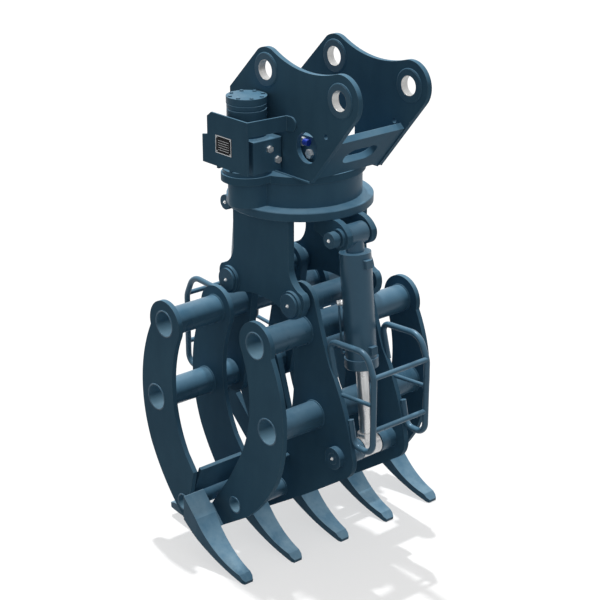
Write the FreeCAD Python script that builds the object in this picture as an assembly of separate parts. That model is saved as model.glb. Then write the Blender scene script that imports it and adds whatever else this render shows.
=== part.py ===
"""Log grapple for a 20 tonne excavator: pin-on head, slewing drive, frame, two tined jaws.

Millimetres, +Z up. The part's origin is the centre of the stick pin, midway between the ears.
X runs from the stick pin towards the link pin, Y runs along both pins. Heights are negative
because the grapple hangs below its pins. Pieces are drawn with X = 0 on the slewing axis and
moved to the origin when they are saved.
"""
import FreeCAD, Part
import math
import os

V = FreeCAD.Vector
UP = V(0, 0, 1)
ALONG_Y = V(0, 1, 0)

# Pins that hold the grapple on the excavator
SLEW_OFFSET = 20.0          # stick pin in front of the slewing axis
PIN_R = 40.0                # bores of the stick pin and the link pin
LINK_X = 453.0
LINK_Z = -43.0
EAR_GAP = 343.0             # clear width between the ears
EAR_T = 22.0
BOSS_R = 65.0
BOSS_RAISE = 6.0            # how far a pin boss stands out of its ear

# Slewing drive
BASE_TOP = -405.0
BASE_T = 30.0
BASE_R = 272.0
HOUSING_WALL = 10.0
TURNTABLE_TOP = -545.0
TURNTABLE_T = 36.0
TURNTABLE_R = 305.0
MODULE = 7.0
GEAR_TEETH = 63
PINION_TEETH = 17
GEAR_CLEAR = 20.5           # from the tips of the gear to the drum round it
HOUSING_R = MODULE * (GEAR_TEETH / 2 + 1) + GEAR_CLEAR + HOUSING_WALL
BACKLASH = 0.6              # play at the pitch circle, each flank gives up half
RACE_R = 188.0              # circle through the roller centres
ROLLER_R = 10.0
ROLLERS = 24
RACE_GAP = 3.0              # slot between the two bearing rings
PINION_SHAFT_R = 25.0
PILOT_R = 58.0              # the motor's pilot in the base plate
MOTOR_R = 80.0
MOTOR_TOP = -92.0

# Frame below the slewing bearing
SIDE_FACE = 217.0           # outer face of a frame side plate
SIDE_T = 32.0
SIDE_HALF = 176.0           # half the width of a side plate under the turntable
PIVOT_X = 200.0
PIVOT_Z = -937.0
FRAME_EYE_R = 62.0          # frame plate round a jaw pin, clear of the upper cross tube
FRAME_BOSS_T = 14.0
KEEPER_T = 10.0
ARM_EYE_R = 85.0
JAW_PIN_R = 35.0
PIVOT_TUBE_R = 50.0

# Jaws
PITCH = 270.0               # from tine to tine of one jaw
LEFT_TINES = 5
TINE_T = 45.0
ARM_T = 36.0
TUBE_R = 54.0
TUBE_WALL = 10.0
SMALL_TUBE_R = 38.0
SMALL_TUBE_WALL = 8.0
UPPER_TUBE = (213.0, -1057.0)
MIDDLE_TUBE = (285.0, -1412.0)
LEFT_SMALL_TUBE = (116.0, -1847.0)
RIGHT_SMALL_TUBE = (67.0, -1835.0)
WIDE_Y = 148.0              # from the middle to each wide right tine
LEFT_TIP = (-300.0, -2054.0)
RIGHT_TIP = (-392.0, -2008.0)
TIP_T = 14.0                # thickness of a tooth at its point
TOOTH_W = 105.0
TOOTH_TIP_W = 50.0

# Cylinders
CYL_TOP = (330.0, -647.0)
CYL_LOW = (425.0, -1557.0)
CYL_PIN_R = 25.0
CYL_EYE_R = 45.0
CYL_EYE_W = 92.0
BARREL_R = 66.0
BARREL_WALL = 13.0
ROD_R = 27.0
SWING_ROOM = 8.5            # room round rod and piston, because the linkage is opened there
LUG_T = 28.0
LUG_R = 52.0

# Guards
GUARD_OUT = 616.0           # line of the outer legs
GUARD_R = 13.0
GUARD_ROD_R = 11.0

# Clearances
RUN = 0.06                  # running fit, on the radius
SIDE_PLAY = 0.5             # between faces that turn past each other
ROLL_PLAY = 0.3


def save(name, shape):
    """Move a piece from the slewing axis to the stick pin and write it."""
    moved = shape.copy()
    moved.translate(V(-SLEW_OFFSET, 0, 0))
    moved.exportStep("parts/" + name + ".step")


def group(solids):
    return solids[0] if len(solids) == 1 else Part.makeCompound(solids)


def xz(point):
    return V(point[0], 0, point[1])


def polar(centre, radius, degrees):
    angle = math.radians(degrees)
    return (centre[0] + radius * math.cos(angle), centre[1] + radius * math.sin(angle))


def line(a, b):
    return Part.makeLine(xz(a), xz(b))


def arc(a, middle, b):
    return Part.Arc(xz(a), xz(middle), xz(b)).toShape()


def chain(points):
    return [line(a, b) for a, b in zip(points, points[1:])]


def plate(edges, y_low, thickness):
    """A flat plate from a closed outline drawn in XZ, between two heights of Y."""
    solid = Part.Face(Part.Wire(Part.__sortEdges__(edges))).extrude(V(0, thickness, 0))
    solid.translate(V(0, y_low, 0))
    return solid


def rod_y(centre, radius, y_low, y_high):
    return Part.makeCylinder(radius, y_high - y_low, V(centre[0], y_low, centre[1]), ALONG_Y)


def tube_y(centre, radius, bore, y_low, y_high):
    outer = rod_y(centre, radius, y_low, y_high)
    return outer.cut(rod_y(centre, bore, y_low - 1, y_high + 1))


def rod_z(x, y, radius, z_low, z_high):
    return Part.makeCylinder(radius, z_high - z_low, V(x, y, z_low), UP)


def ring_z(radius, bore, z_low, z_high):
    return rod_z(0, 0, radius, z_low, z_high).cut(rod_z(0, 0, bore, z_low - 1, z_high + 1))


def mirror_x(shape):
    return shape.mirror(V(0, 0, 0), V(1, 0, 0))


def link_edges(c1, r1, c2, r2):
    """Outline of two rounds joined by their outer tangents."""
    dx = c2[0] - c1[0]
    dz = c2[1] - c1[1]
    reach = math.hypot(dx, dz)
    base = math.degrees(math.atan2(dz, dx))
    lean = math.degrees(math.acos((r1 - r2) / reach))
    a1 = polar(c1, r1, base + lean)
    b1 = polar(c1, r1, base - lean)
    a2 = polar(c2, r2, base + lean)
    b2 = polar(c2, r2, base - lean)
    return [arc(a1, polar(c1, r1, base + 180), b1), line(b1, b2),
            arc(b2, polar(c2, r2, base), a2), line(a2, a1)]


# Head: ears, bosses, front plate and base plate
EAR_IN = EAR_GAP / 2
EAR_OUT = EAR_IN + EAR_T
STICK = (SLEW_OFFSET, 0.0)
LINK = (LINK_X, LINK_Z)
STICK_EYE_R = 90.0
LINK_EYE_R = 101.0
EAR_BACK = -212.0           # rear edge of an ear
EAR_SHOULDER = -110.0       # where the rear edge leans towards the stick pin
FRONT_FOOT_X = 286.0        # foot of the slanting front edge
HOSE_HOLE = (262.0, -268.0)
HOSE_HOLE_R = 62.0
FAR_HOLE = (91.0, -290.0)   # rounded opening in the right ear
FAR_HOLE_HALF = (51.0, 55.0)
FAR_HOLE_R = 40.0
LIFT_HOLE = (372.0, -200.0)
LIFT_HOLE_R = 11.0
WINDOW_WIDE = 170.0
WINDOW_HIGH = 85.0


def ear_edges():
    top = polar(STICK, STICK_EYE_R, 125)
    crest = polar(STICK, STICK_EYE_R, 62)
    rise = polar(LINK, LINK_EYE_R, 110)
    nose = polar(LINK, LINK_EYE_R, -38)
    foot = (FRONT_FOOT_X, BASE_TOP)
    dip = (STICK[0] + 222.0, 31.0)
    edges = [line((EAR_BACK, BASE_TOP), (EAR_BACK, EAR_SHOULDER))]
    edges.append(line((EAR_BACK, EAR_SHOULDER), top))
    edges.append(arc(top, polar(STICK, STICK_EYE_R, 95), crest))
    edges.append(arc(crest, dip, rise))
    edges.append(arc(rise, polar(LINK, LINK_EYE_R, 35), nose))
    edges.append(line(nose, foot))
    edges.append(line(foot, (EAR_BACK, BASE_TOP)))
    return edges


def far_opening(y_low, depth):
    """Rounded opening in the right ear, in place of the round hole of the left one."""
    half_x, half_z = FAR_HOLE_HALF
    box = Part.makeBox(2 * half_x, depth, 2 * half_z, V(FAR_HOLE[0] - half_x, y_low, FAR_HOLE[1] - half_z))
    return box.makeFillet(FAR_HOLE_R, [e for e in box.Edges
                                       if abs(e.tangentAt(e.FirstParameter).y) > 0.9])


def ear(side):
    y_low = EAR_IN if side > 0 else -EAR_OUT
    solid = plate(ear_edges(), y_low, EAR_T)
    for centre in (STICK, LINK):
        solid = solid.cut(rod_y(centre, BOSS_R, y_low - 1, y_low + EAR_T + 1))
    hole = rod_y(HOSE_HOLE, HOSE_HOLE_R, y_low - 1, y_low + EAR_T + 1)
    if side > 0:
        hole = far_opening(y_low - 1, EAR_T + 2)
    solid = solid.cut(hole)
    return solid.cut(rod_y(LIFT_HOLE, LIFT_HOLE_R, y_low - 1, y_low + EAR_T + 1))


def ear_bosses(side):
    y_low = EAR_IN if side > 0 else -EAR_OUT
    low = y_low - BOSS_RAISE
    high = y_low + EAR_T + BOSS_RAISE
    return [tube_y(c, BOSS_R, PIN_R, low, high) for c in (STICK, LINK)]


def front_plate():
    """Slanting plate between the ears, flush with their front edge, with a hose window."""
    nose = polar(LINK, LINK_EYE_R, -38)
    run = V(nose[0] - FRONT_FOOT_X, 0, nose[1] - BASE_TOP)
    run.normalize()
    inward = V(-run.z, 0, run.x)
    foot = V(FRONT_FOOT_X, 0, BASE_TOP) + run * 8 + inward * 5
    width = 2 * EAR_IN
    thick = 30.0
    height = 226.0
    box = Part.makeBox(height, width, thick)
    corner = V((height - WINDOW_HIGH) / 2, (width - WINDOW_WIDE) / 2, -1)
    window = Part.makeBox(WINDOW_HIGH, WINDOW_WIDE, thick + 2, corner)
    window = window.makeFillet(WINDOW_HIGH / 2 - 0.5, [e for e in window.Edges
                                    if abs(e.tangentAt(e.FirstParameter).z) > 0.9])
    solid = box.cut(window)
    placed = FreeCAD.Placement()
    placed.Rotation = FreeCAD.Rotation(run, V(0, 1, 0), inward, "ZXY")
    placed.Base = foot + V(0, -EAR_IN, 0)
    solid.Placement = placed
    floor = Part.makeBox(900, width + 2, 200, V(0, -EAR_IN - 1, BASE_TOP - 200))
    return solid.cut(floor)


PITCH_R = MODULE * GEAR_TEETH / 2
PINION_PITCH_R = MODULE * PINION_TEETH / 2
PINION_Y = -(PITCH_R + PINION_PITCH_R)
BASE_LOW = BASE_TOP - BASE_T
HOUSING_LOW = TURNTABLE_TOP + 7.0
SWIVEL_R = 78.0
LOBE_R = 79.0


def lobe(radius, drum, z_low, z_high):
    """A round drum with a straight-sided lobe over the pinion."""
    solid = rod_z(0, 0, drum, z_low, z_high)
    solid = solid.fuse(rod_z(0, PINION_Y, radius, z_low, z_high))
    neck = Part.makeBox(2 * radius, -PINION_Y, z_high - z_low, V(-radius, PINION_Y, z_low))
    return solid.fuse(neck).removeSplitter()


def base_plate():
    solid = lobe(LOBE_R + 28, BASE_R, BASE_LOW, BASE_TOP)
    solid = solid.cut(rod_z(0, 0, SWIVEL_R, BASE_LOW - 1, BASE_TOP + 1))
    return solid.cut(rod_z(0, PINION_Y, PILOT_R, BASE_LOW - 1, BASE_TOP + 1))


def gear_housing():
    """Drum wall round the ring gear, with a floor only under the pinion lobe."""
    outer = lobe(LOBE_R, HOUSING_R, HOUSING_LOW, BASE_LOW)
    inner = lobe(LOBE_R - HOUSING_WALL, HOUSING_R - HOUSING_WALL, HOUSING_LOW + 8, BASE_LOW + 1)
    hole = rod_z(0, 0, HOUSING_R - HOUSING_WALL, HOUSING_LOW - 1, HOUSING_LOW + 9)
    return outer.cut(inner).cut(hole)


# Slewing bearing: a crossed roller bearing whose outer ring carries the gear
GROOVE = ROLLER_R + ROLL_PLAY
RACE_Z = -487.0
INNER_RING_BORE = 142.0
INNER_RING_LOW = -522.0
GEAR_TOP = -452.0


def race_groove():
    """Square groove on its corner, turned round the slewing axis."""
    half = GROOVE * math.sqrt(2)
    corners = [(RACE_R - half, RACE_Z), (RACE_R, RACE_Z + half),
               (RACE_R + half, RACE_Z), (RACE_R, RACE_Z - half)]
    face = Part.Face(Part.Wire(chain(corners + corners[:1])))
    return face.revolve(V(0, 0, 0), UP, 360)


def inner_ring():
    ring = ring_z(RACE_R - RACE_GAP / 2, INNER_RING_BORE, INNER_RING_LOW, BASE_LOW)
    return ring.cut(race_groove())


def rollers():
    """Short rollers, each one tipped the other way from its neighbours."""
    made = []
    for i in range(ROLLERS):
        tip = 45 if i % 2 else -45
        length = 2 * (GROOVE - ROLL_PLAY) - 0.4
        roller = Part.makeCylinder(ROLLER_R, length, V(0, 0, -length / 2))
        roller.rotate(V(0, 0, 0), V(0, 1, 0), tip)
        roller.translate(V(RACE_R, 0, RACE_Z))
        roller.rotate(V(0, 0, 0), UP, i * 360.0 / ROLLERS)
        made.append(roller)
    return group(made)


def involute(angle):
    return math.tan(angle) - angle


def gear_face(teeth, phase):
    """Outline of an external involute gear with a 20 degree pressure angle."""
    pitch_r = MODULE * teeth / 2
    base_r = pitch_r * math.cos(math.radians(20))
    tip_r = pitch_r + 0.92 * MODULE
    root_r = pitch_r - 1.25 * MODULE
    start_r = max(base_r, root_r + 0.5)
    half_tooth = math.pi / (2 * teeth) - BACKLASH / (4 * pitch_r)
    at_pitch = involute(math.radians(20))
    flank = []
    for i in range(4):
        radius = start_r + (tip_r - start_r) * i / 3
        turn = half_tooth + at_pitch - involute(math.acos(min(1.0, base_r / radius)))
        flank.append((radius, turn))
    points = []
    for tooth in range(teeth):
        middle = phase + 2 * math.pi * tooth / teeth
        points.append((root_r, middle - half_tooth - at_pitch * 1.2))
        points += [(radius, middle - turn) for radius, turn in flank]
        points += [(radius, middle + turn) for radius, turn in reversed(flank)]
        points.append((root_r, middle + half_tooth + at_pitch * 1.2))
    ring = [V(r * math.cos(a), r * math.sin(a), 0) for r, a in points]
    return Part.Face(Part.makePolygon(ring + ring[:1]))


def ring_gear():
    """Outer ring of the bearing, with a tooth space facing the pinion."""
    face = gear_face(GEAR_TEETH, -math.pi / 2 + math.pi / GEAR_TEETH)
    solid = face.extrude(V(0, 0, GEAR_TOP - TURNTABLE_TOP))
    solid.translate(V(0, 0, TURNTABLE_TOP))
    bore = rod_z(0, 0, RACE_R + RACE_GAP / 2, TURNTABLE_TOP - 1, GEAR_TOP + 1)
    return solid.cut(bore).cut(race_groove())


def drive_pinion():
    """Pinion and shaft in one piece, with a tooth pointing at the ring gear."""
    solid = gear_face(PINION_TEETH, math.pi / 2).extrude(V(0, 0, 68))
    solid.translate(V(0, PINION_Y, -524))
    shaft = rod_z(0, PINION_Y, PINION_SHAFT_R, -524, BASE_TOP + 60)
    return solid.fuse(shaft)


def motor_body():
    """Slewing motor: spigot in the base plate, flange, body and a shoulder under the cap."""
    solid = rod_z(0, PINION_Y, MOTOR_R, BASE_TOP, MOTOR_TOP - 31)
    solid = solid.fuse(rod_z(0, PINION_Y, MOTOR_R + 20, BASE_TOP, BASE_TOP + 18))
    solid = solid.fuse(rod_z(0, PINION_Y, PILOT_R, BASE_LOW, BASE_TOP + 1))
    solid = solid.cut(ring_at_motor(MOTOR_R + 1, MOTOR_R - 4, MOTOR_TOP - 52, MOTOR_TOP - 46))
    bore = rod_z(0, PINION_Y, PINION_SHAFT_R + RUN, BASE_LOW - 1, BASE_TOP + 60 + SIDE_PLAY)
    trim = Part.makeBox(400, 200, 400, V(-200, -EAR_OUT - 1, BASE_TOP))
    return solid.cut(bore).cut(trim)


def ring_at_motor(radius, bore, z_low, z_high):
    outer = rod_z(0, PINION_Y, radius, z_low, z_high)
    return outer.cut(rod_z(0, PINION_Y, bore, z_low - 1, z_high + 1))


def motor_cap():
    cap = rod_z(0, PINION_Y, MOTOR_R + 2, MOTOR_TOP - 28, MOTOR_TOP)
    neck = rod_z(0, PINION_Y, MOTOR_R - 4, MOTOR_TOP - 31, MOTOR_TOP - 27)
    cap = cap.fuse(neck)
    for i in range(8):
        x, y = bolt_place(i)
        cap = cap.cut(rod_z(x, y, 9, MOTOR_TOP - 8, MOTOR_TOP + 1))
    return cap


def bolt_place(i):
    angle = math.radians(22.5 + i * 45)
    reach = MOTOR_R - 12
    return reach * math.cos(angle), PINION_Y + reach * math.sin(angle)


def motor_cap_bolts():
    heads = []
    for i in range(8):
        x, y = bolt_place(i)
        heads.append(rod_z(x, y, 7, MOTOR_TOP - 8, MOTOR_TOP + 4))
    return group(heads)


# Valve gear on the outside of the left ear
BLOCK_X = 118.0
BLOCK_LOW = BASE_TOP + 20.0
BLOCK_TOP = -250.0
BLOCK_Y = (-346.0, -200.0)
PLUGS = ((-264.0, -290.0), (-222.0, -340.0))
GUARD_FOLD = (126.0, -388.0)
GUARD_TOP = -160.0
GUARD_T = 8.0
FLANGE_X = 144.0            # where the side wing meets the ear
FLANGE_LONG = 30.0
FLANGE_HALF = 30.0


def valve_block():
    """Motor valve: a block bolted to the side of the slewing motor."""
    box = Part.makeBox(BLOCK_X - 40, BLOCK_Y[1] - BLOCK_Y[0], BLOCK_TOP - BLOCK_LOW,
                       V(40, BLOCK_Y[0], BLOCK_LOW))
    box = box.makeFillet(5, [e for e in box.Edges if e.CenterOfMass.x > BLOCK_X - 1])
    box = box.cut(rod_z(0, PINION_Y, MOTOR_R, BLOCK_LOW - 1, BLOCK_TOP + 1))
    for y, z in PLUGS:
        box = box.cut(Part.makeCylinder(12, 15, V(BLOCK_X - 14, y, z), V(1, 0, 0)))
    return box


def hexagon(radius, height, base, axis):
    """Hexagon prism along a unit axis."""
    points = []
    for i in range(7):
        angle = math.radians(60 * i)
        points.append(V(radius * math.cos(angle), radius * math.sin(angle), 0))
    solid = Part.Face(Part.makePolygon(points)).extrude(V(0, 0, height))
    solid.Placement = FreeCAD.Placement(base, FreeCAD.Rotation(UP, axis))
    return solid


def valve_plugs():
    plugs = []
    for y, z in PLUGS:
        shank = Part.makeCylinder(12, 15, V(BLOCK_X - 14, y, z), V(1, 0, 0))
        plugs.append(shank.fuse(hexagon(15, 11, V(BLOCK_X, y, z), V(1, 0, 0))))
    return group(plugs)


PLUG_AT = (237.0, -304.0)
ELBOW_AT = (196.0, -261.0)
PORT_R = 13.0
PORT_HEX_R = 19.0
PORT_HEX_T = 14.0
PORT_FACE = -EAR_IN + 20
NECK_R = 6.0
CAP_R = 13.0
CAP_LONG = 26.0


def port_manifold():
    """Hose manifold between the ears, behind the hose holes."""
    top = ELBOW_AT[1] + PORT_HEX_R + 6
    back = ELBOW_AT[0] - PORT_HEX_R - 8
    outline = [(back, BASE_TOP), (FRONT_FOOT_X - 60, BASE_TOP), (FRONT_FOOT_X + 28, -297.0),
               (FRONT_FOOT_X + 28, top), (back, top)]
    block = plate(chain(outline + outline[:1]), PORT_FACE, 90)
    for place in (PLUG_AT, ELBOW_AT):
        block = block.cut(rod_y(place, PORT_R, PORT_FACE - 1, PORT_FACE + 20))
    return block


def screwed_end(place):
    shank = rod_y(place, PORT_R, PORT_FACE - 4, PORT_FACE + 20)
    hexagonal = hexagon(PORT_HEX_R, PORT_HEX_T, V(place[0], PORT_FACE - PORT_HEX_T, place[1]), ALONG_Y)
    return shank.fuse(hexagonal)


def elbow_neck(radius, reach):
    """Round neck that leaves the elbow towards the link pin."""
    start = V(ELBOW_AT[0], PORT_FACE - PORT_HEX_T + NECK_R - 1, ELBOW_AT[1] + 4)
    return Part.makeCylinder(radius, reach, start, V(1, 0, 0))


def port_fittings():
    """A plug and an elbow screwed into the manifold."""
    neck = elbow_neck(NECK_R, PORT_HEX_R + 8)
    return group([screwed_end(PLUG_AT), screwed_end(ELBOW_AT).fuse(neck)])


def port_cap():
    """Cap pushed on the elbow's neck."""
    gap = PORT_HEX_R + 1
    cap = elbow_neck(CAP_R, gap + CAP_LONG).cut(elbow_neck(CAP_R + 1, gap))
    cap.translate(V(0, PORT_HEX_T - NECK_R - CAP_R - 1.5 + 1, 0))
    return cap.cut(elbow_neck(NECK_R, PORT_HEX_R + 8))


def valve_guard():
    """Plate bent round the valve block: a front wing, a side wing and a flange on the ear."""
    fold_x, fold_y = GUARD_FOLD
    low = GUARD_TOP - 215
    front = [(fold_x, GUARD_TOP), (-92, GUARD_TOP), (-118, GUARD_TOP - 20), (-118, GUARD_TOP - 95),
             (-150, GUARD_TOP - 101), (-150, low), (fold_x, low)]
    wing_front = plate(chain(front + front[:1]), fold_y, GUARD_T)
    plan = [V(fold_x, fold_y, 0), V(fold_x + GUARD_T, fold_y, 0),
            V(FLANGE_X + GUARD_T, -EAR_OUT, 0), V(FLANGE_X, -EAR_OUT, 0)]
    wing_side = Part.Face(Part.makePolygon(plan + plan[:1])).extrude(V(0, 0, 2 * FLANGE_HALF))
    wing_side.translate(V(0, 0, GUARD_TOP - 2 * FLANGE_HALF))
    end = (FLANGE_X + FLANGE_LONG, GUARD_TOP - FLANGE_HALF)
    flange = Part.makeBox(FLANGE_LONG, GUARD_T, 2 * FLANGE_HALF,
                          V(FLANGE_X, -EAR_OUT - GUARD_T, GUARD_TOP - 2 * FLANGE_HALF))
    flange = flange.fuse(rod_y(end, FLANGE_HALF, -EAR_OUT - GUARD_T, -EAR_OUT))
    corner = Part.makeBox(GUARD_T, GUARD_T, 215, V(fold_x, fold_y, low))
    return wing_front.fuse([wing_side, flange, corner]).removeSplitter()


def guard_stays():
    """Two lugs that carry the front wing from the motor flange."""
    made = []
    for x in (-70.0, 10.0):
        low = BASE_TOP + 18
        stay = Part.makeBox(12, 60, 60, V(x, GUARD_FOLD[1] + GUARD_T, low))
        made.append(stay.cut(rod_z(0, PINION_Y, MOTOR_R, low - 1, low + 61)))
    return made


def nameplate():
    """Bare plate on the front wing of the guard."""
    return Part.makeBox(98, 2, 72, V(-62, GUARD_FOLD[1] - 2, GUARD_TOP - 158))


def swivel_core():
    """Rotary oil joint: the still core, hung in the base plate."""
    core = rod_z(0, 0, 48, INNER_RING_LOW, BASE_TOP + 60)
    flange = rod_z(0, 0, SWIVEL_R, BASE_LOW, BASE_TOP)
    head = rod_z(0, 0, SWIVEL_R + 22, BASE_TOP, BASE_TOP + 16)
    return core.fuse(flange).fuse(head)


def swivel_sleeve():
    """Rotary oil joint: the sleeve that turns with the turntable."""
    sleeve = rod_z(0, 0, 88, TURNTABLE_TOP - TURNTABLE_T, BASE_LOW - 5)
    flange = rod_z(0, 0, 112, TURNTABLE_TOP - TURNTABLE_T, TURNTABLE_TOP)
    bore = rod_z(0, 0, 48 + RUN, INNER_RING_LOW - 4, BASE_TOP)
    return sleeve.fuse(flange).cut(bore)


# Frame that turns: turntable, side plates and cylinder lugs
LUG_IN = CYL_EYE_W / 2 + SIDE_PLAY + 5
LUG_ROOT_X = 176.0
TABLE_LOW = TURNTABLE_TOP - TURNTABLE_T
BOLT_CIRCLE = 200.0
BOLT_R = 15.0
BOLTS = 20


def turntable():
    table = ring_z(TURNTABLE_R, 112, TABLE_LOW, TURNTABLE_TOP)
    return table.makeChamfer(3, [e for e in table.Edges if e.BoundBox.XMax > TURNTABLE_R - 1])


def turntable_bolts():
    heads = []
    for i in range(BOLTS):
        angle = 2 * math.pi * i / BOLTS
        x = BOLT_CIRCLE * math.cos(angle)
        y = BOLT_CIRCLE * math.sin(angle)
        under_plate = abs(y) + BOLT_R > SIDE_FACE - SIDE_T
        under_lug = LUG_IN - BOLT_R < abs(y) < LUG_IN + LUG_T + BOLT_R and abs(x) > LUG_ROOT_X - BOLT_R
        if not under_plate and not under_lug:
            heads.append(hexagon(BOLT_R, 12, V(x, y, TABLE_LOW - 12), UP))
    return group(heads)


def side_plate(side):
    """Plate that hangs from the turntable and carries both jaw pins."""
    right = (PIVOT_X, PIVOT_Z)
    waist = (SIDE_HALF, -775.0)
    shoulder = (PIVOT_X + 56, PIVOT_Z + 57)
    rim = polar(right, FRAME_EYE_R, -12)
    bottom = polar(right, FRAME_EYE_R, -115)
    edges = [line((SIDE_HALF, TABLE_LOW), waist)]
    edges.append(arc(waist, (SIDE_HALF + 21, PIVOT_Z + 95), shoulder))
    edges.append(arc(shoulder, (PIVOT_X + 74, PIVOT_Z + 22), rim))
    edges.append(arc(rim, polar(right, FRAME_EYE_R, -60), bottom))
    crown = (0.0, PIVOT_Z - 18)
    mirrored = [e.mirror(V(0, 0, 0), V(1, 0, 0)) for e in edges]
    left_bottom = (-bottom[0], bottom[1])
    arch = [arc(bottom, crown, left_bottom)]
    top = [line((-SIDE_HALF, TABLE_LOW), (SIDE_HALF, TABLE_LOW))]
    y_low = SIDE_FACE - SIDE_T
    solid = plate(edges + arch + mirrored + top, y_low, SIDE_T)
    for x in (-PIVOT_X, PIVOT_X):
        solid = solid.fuse(rod_y((x, PIVOT_Z), FRAME_EYE_R - 3, SIDE_FACE, SIDE_FACE + FRAME_BOSS_T))
    for x in (-PIVOT_X, PIVOT_X):
        solid = solid.cut(rod_y((x, PIVOT_Z), JAW_PIN_R + RUN, y_low - 1, SIDE_FACE + FRAME_BOSS_T + 1))
    if side < 0:
        solid = solid.mirror(V(0, 0, 0), V(0, 1, 0))
    return solid


def jaw_pin(side):
    """Pivot pin of a jaw, with a keeper disc on each end."""
    centre = (side * PIVOT_X, PIVOT_Z)
    reach = SIDE_FACE + FRAME_BOSS_T
    pin = rod_y(centre, JAW_PIN_R, -reach, reach)
    for low in (-reach - KEEPER_T, reach):
        disc = rod_y(centre, JAW_PIN_R + 15, low, low + KEEPER_T)
        pin = pin.fuse(disc)
    return pin




def top_lugs(side):
    """Two lugs under the turntable for the cylinder's upper pin."""
    top = CYL_TOP
    outer = polar(top, LUG_R, 20)
    under = polar(top, LUG_R, -95)
    rim = (TURNTABLE_R - 9, TABLE_LOW)
    root = (LUG_ROOT_X, TABLE_LOW)
    knee = (LUG_ROOT_X, TABLE_LOW - 70)
    edges = [line(root, rim), arc(rim, (top[0] + 26, TABLE_LOW - 22), outer),
             arc(outer, polar(top, LUG_R, -35), under), line(under, knee), line(knee, root)]
    made = []
    for y_low in (-LUG_IN - LUG_T, LUG_IN):
        lug = plate(edges, y_low, LUG_T)
        made.append(lug.cut(rod_y(top, CYL_PIN_R + RUN, y_low - 1, y_low + LUG_T + 1)))
    return made if side > 0 else [mirror_x(lug) for lug in made]


def top_pin(side):
    centre = (side * CYL_TOP[0], CYL_TOP[1])
    pin = rod_y(centre, CYL_PIN_R, -LUG_IN - LUG_T - 46, LUG_IN + LUG_T + 16)
    head = rod_y(centre, CYL_PIN_R + 8, -LUG_IN - LUG_T - 56, -LUG_IN - LUG_T - 24)
    return pin.fuse(head).fuse(rod_y(centre, CYL_PIN_R + 14, -LUG_IN - LUG_T - 14, -LUG_IN - LUG_T))


# Jaws. The left jaw is drawn at negative X; the right jaw is drawn at positive X.
def tine_heights(count):
    return [PITCH * (i - (count - 1) / 2) for i in range(count)]


FRONT_MIDDLE = (171.0, -1370.0)    # front edge of a tine
FRONT_LOW = (95.0, -1612.0)
HIP = (334.0, -1634.0)             # where the back edge turns in towards the shoe
LEFT_SHOE = [(40.0, -1681.0), (68.0, -1790.0), (72.0, -1902.0), (118.0, -1923.0)]
LEFT_SOLE = (227.0, -1808.0)
RIGHT_SHOE = [(30.0, -1722.0), (-90.0, -1888.0), (-14.0, -1965.0), (144.0, -1864.0)]
RIGHT_SOLE = (252.0, -1755.0)


def c_edges(shoe, sole):
    """C-shaped tine drawn at positive X, closed by its shoe and its sole."""
    back = polar(UPPER_TUBE, 100, -16)
    front = polar(UPPER_TUBE, 100, 212)
    edges = [arc(back, polar(UPPER_TUBE, 100, 98), front)]
    edges.append(arc(front, FRONT_MIDDLE, FRONT_LOW))
    edges += chain([FRONT_LOW] + shoe)
    edges.append(arc(shoe[-1], sole, HIP))
    edges.append(arc(HIP, (384.0, -1385.0), back))
    return edges


def tube_holes(solid, holes, y_low, thickness):
    for centre, radius in holes:
        solid = solid.cut(rod_y(centre, radius, y_low - 1, y_low + thickness + 1))
    return solid


def jaw_tubes(small):
    return [(UPPER_TUBE, TUBE_R), (MIDDLE_TUBE, TUBE_R), (small, SMALL_TUBE_R)]


def outer_tine(y, shoe, sole, small):
    """Tine that hangs on the cross tubes."""
    y_low = y - TINE_T / 2
    solid = plate(c_edges(shoe, sole), y_low, TINE_T)
    return tube_holes(solid, jaw_tubes(small), y_low, TINE_T)


def middle_left_tine():
    """The tine behind the cylinder rod starts at the middle tube."""
    y_low = -TINE_T / 2
    back = polar(MIDDLE_TUBE, 74, -12)
    front = polar(MIDDLE_TUBE, 74, 196)
    edges = [arc(back, polar(MIDDLE_TUBE, 74, 95), front)]
    edges.append(arc(front, (190.0, -1520.0), FRONT_LOW))
    edges += chain([FRONT_LOW] + LEFT_SHOE)
    edges.append(arc(LEFT_SHOE[-1], LEFT_SOLE, HIP))
    edges.append(arc(HIP, (354.0, -1530.0), back))
    solid = plate(edges, y_low, TINE_T)
    holes = [(MIDDLE_TUBE, TUBE_R), (LEFT_SMALL_TUBE, SMALL_TUBE_R)]
    return tube_holes(solid, holes, y_low, TINE_T)


def arm_tine(y):
    """Wide right tine that also carries the pivot, the cylinder pin and the guard."""
    y_low = y - TINE_T / 2
    pivot = (PIVOT_X, PIVOT_Z)
    start = polar(pivot, ARM_EYE_R, 10)
    front = polar(pivot, ARM_EYE_R, 195)
    pin = CYL_LOW
    tail = polar(pin, 96, -62)
    heel = polar(pin, 96, 22)
    waist = (372.0, -1168.0)
    edges = [arc(start, polar(pivot, ARM_EYE_R, 100), front)]
    edges.append(arc(front, (152.0, -1330.0), FRONT_LOW))
    edges += chain([FRONT_LOW] + RIGHT_SHOE)
    edges.append(arc(RIGHT_SHOE[-1], (312.0, -1752.0), tail))
    edges.append(arc(tail, polar(pin, 96, -20), heel))
    edges.append(arc(heel, (465.0, -1350.0), waist))
    edges.append(arc(waist, (326.0, -1050.0), start))
    solid = plate(edges, y_low, TINE_T)
    holes = jaw_tubes(RIGHT_SMALL_TUBE) + [(pivot, PIVOT_TUBE_R), (pin, CYL_PIN_R + 22)]
    return tube_holes(solid, holes, y_low, TINE_T)


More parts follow.
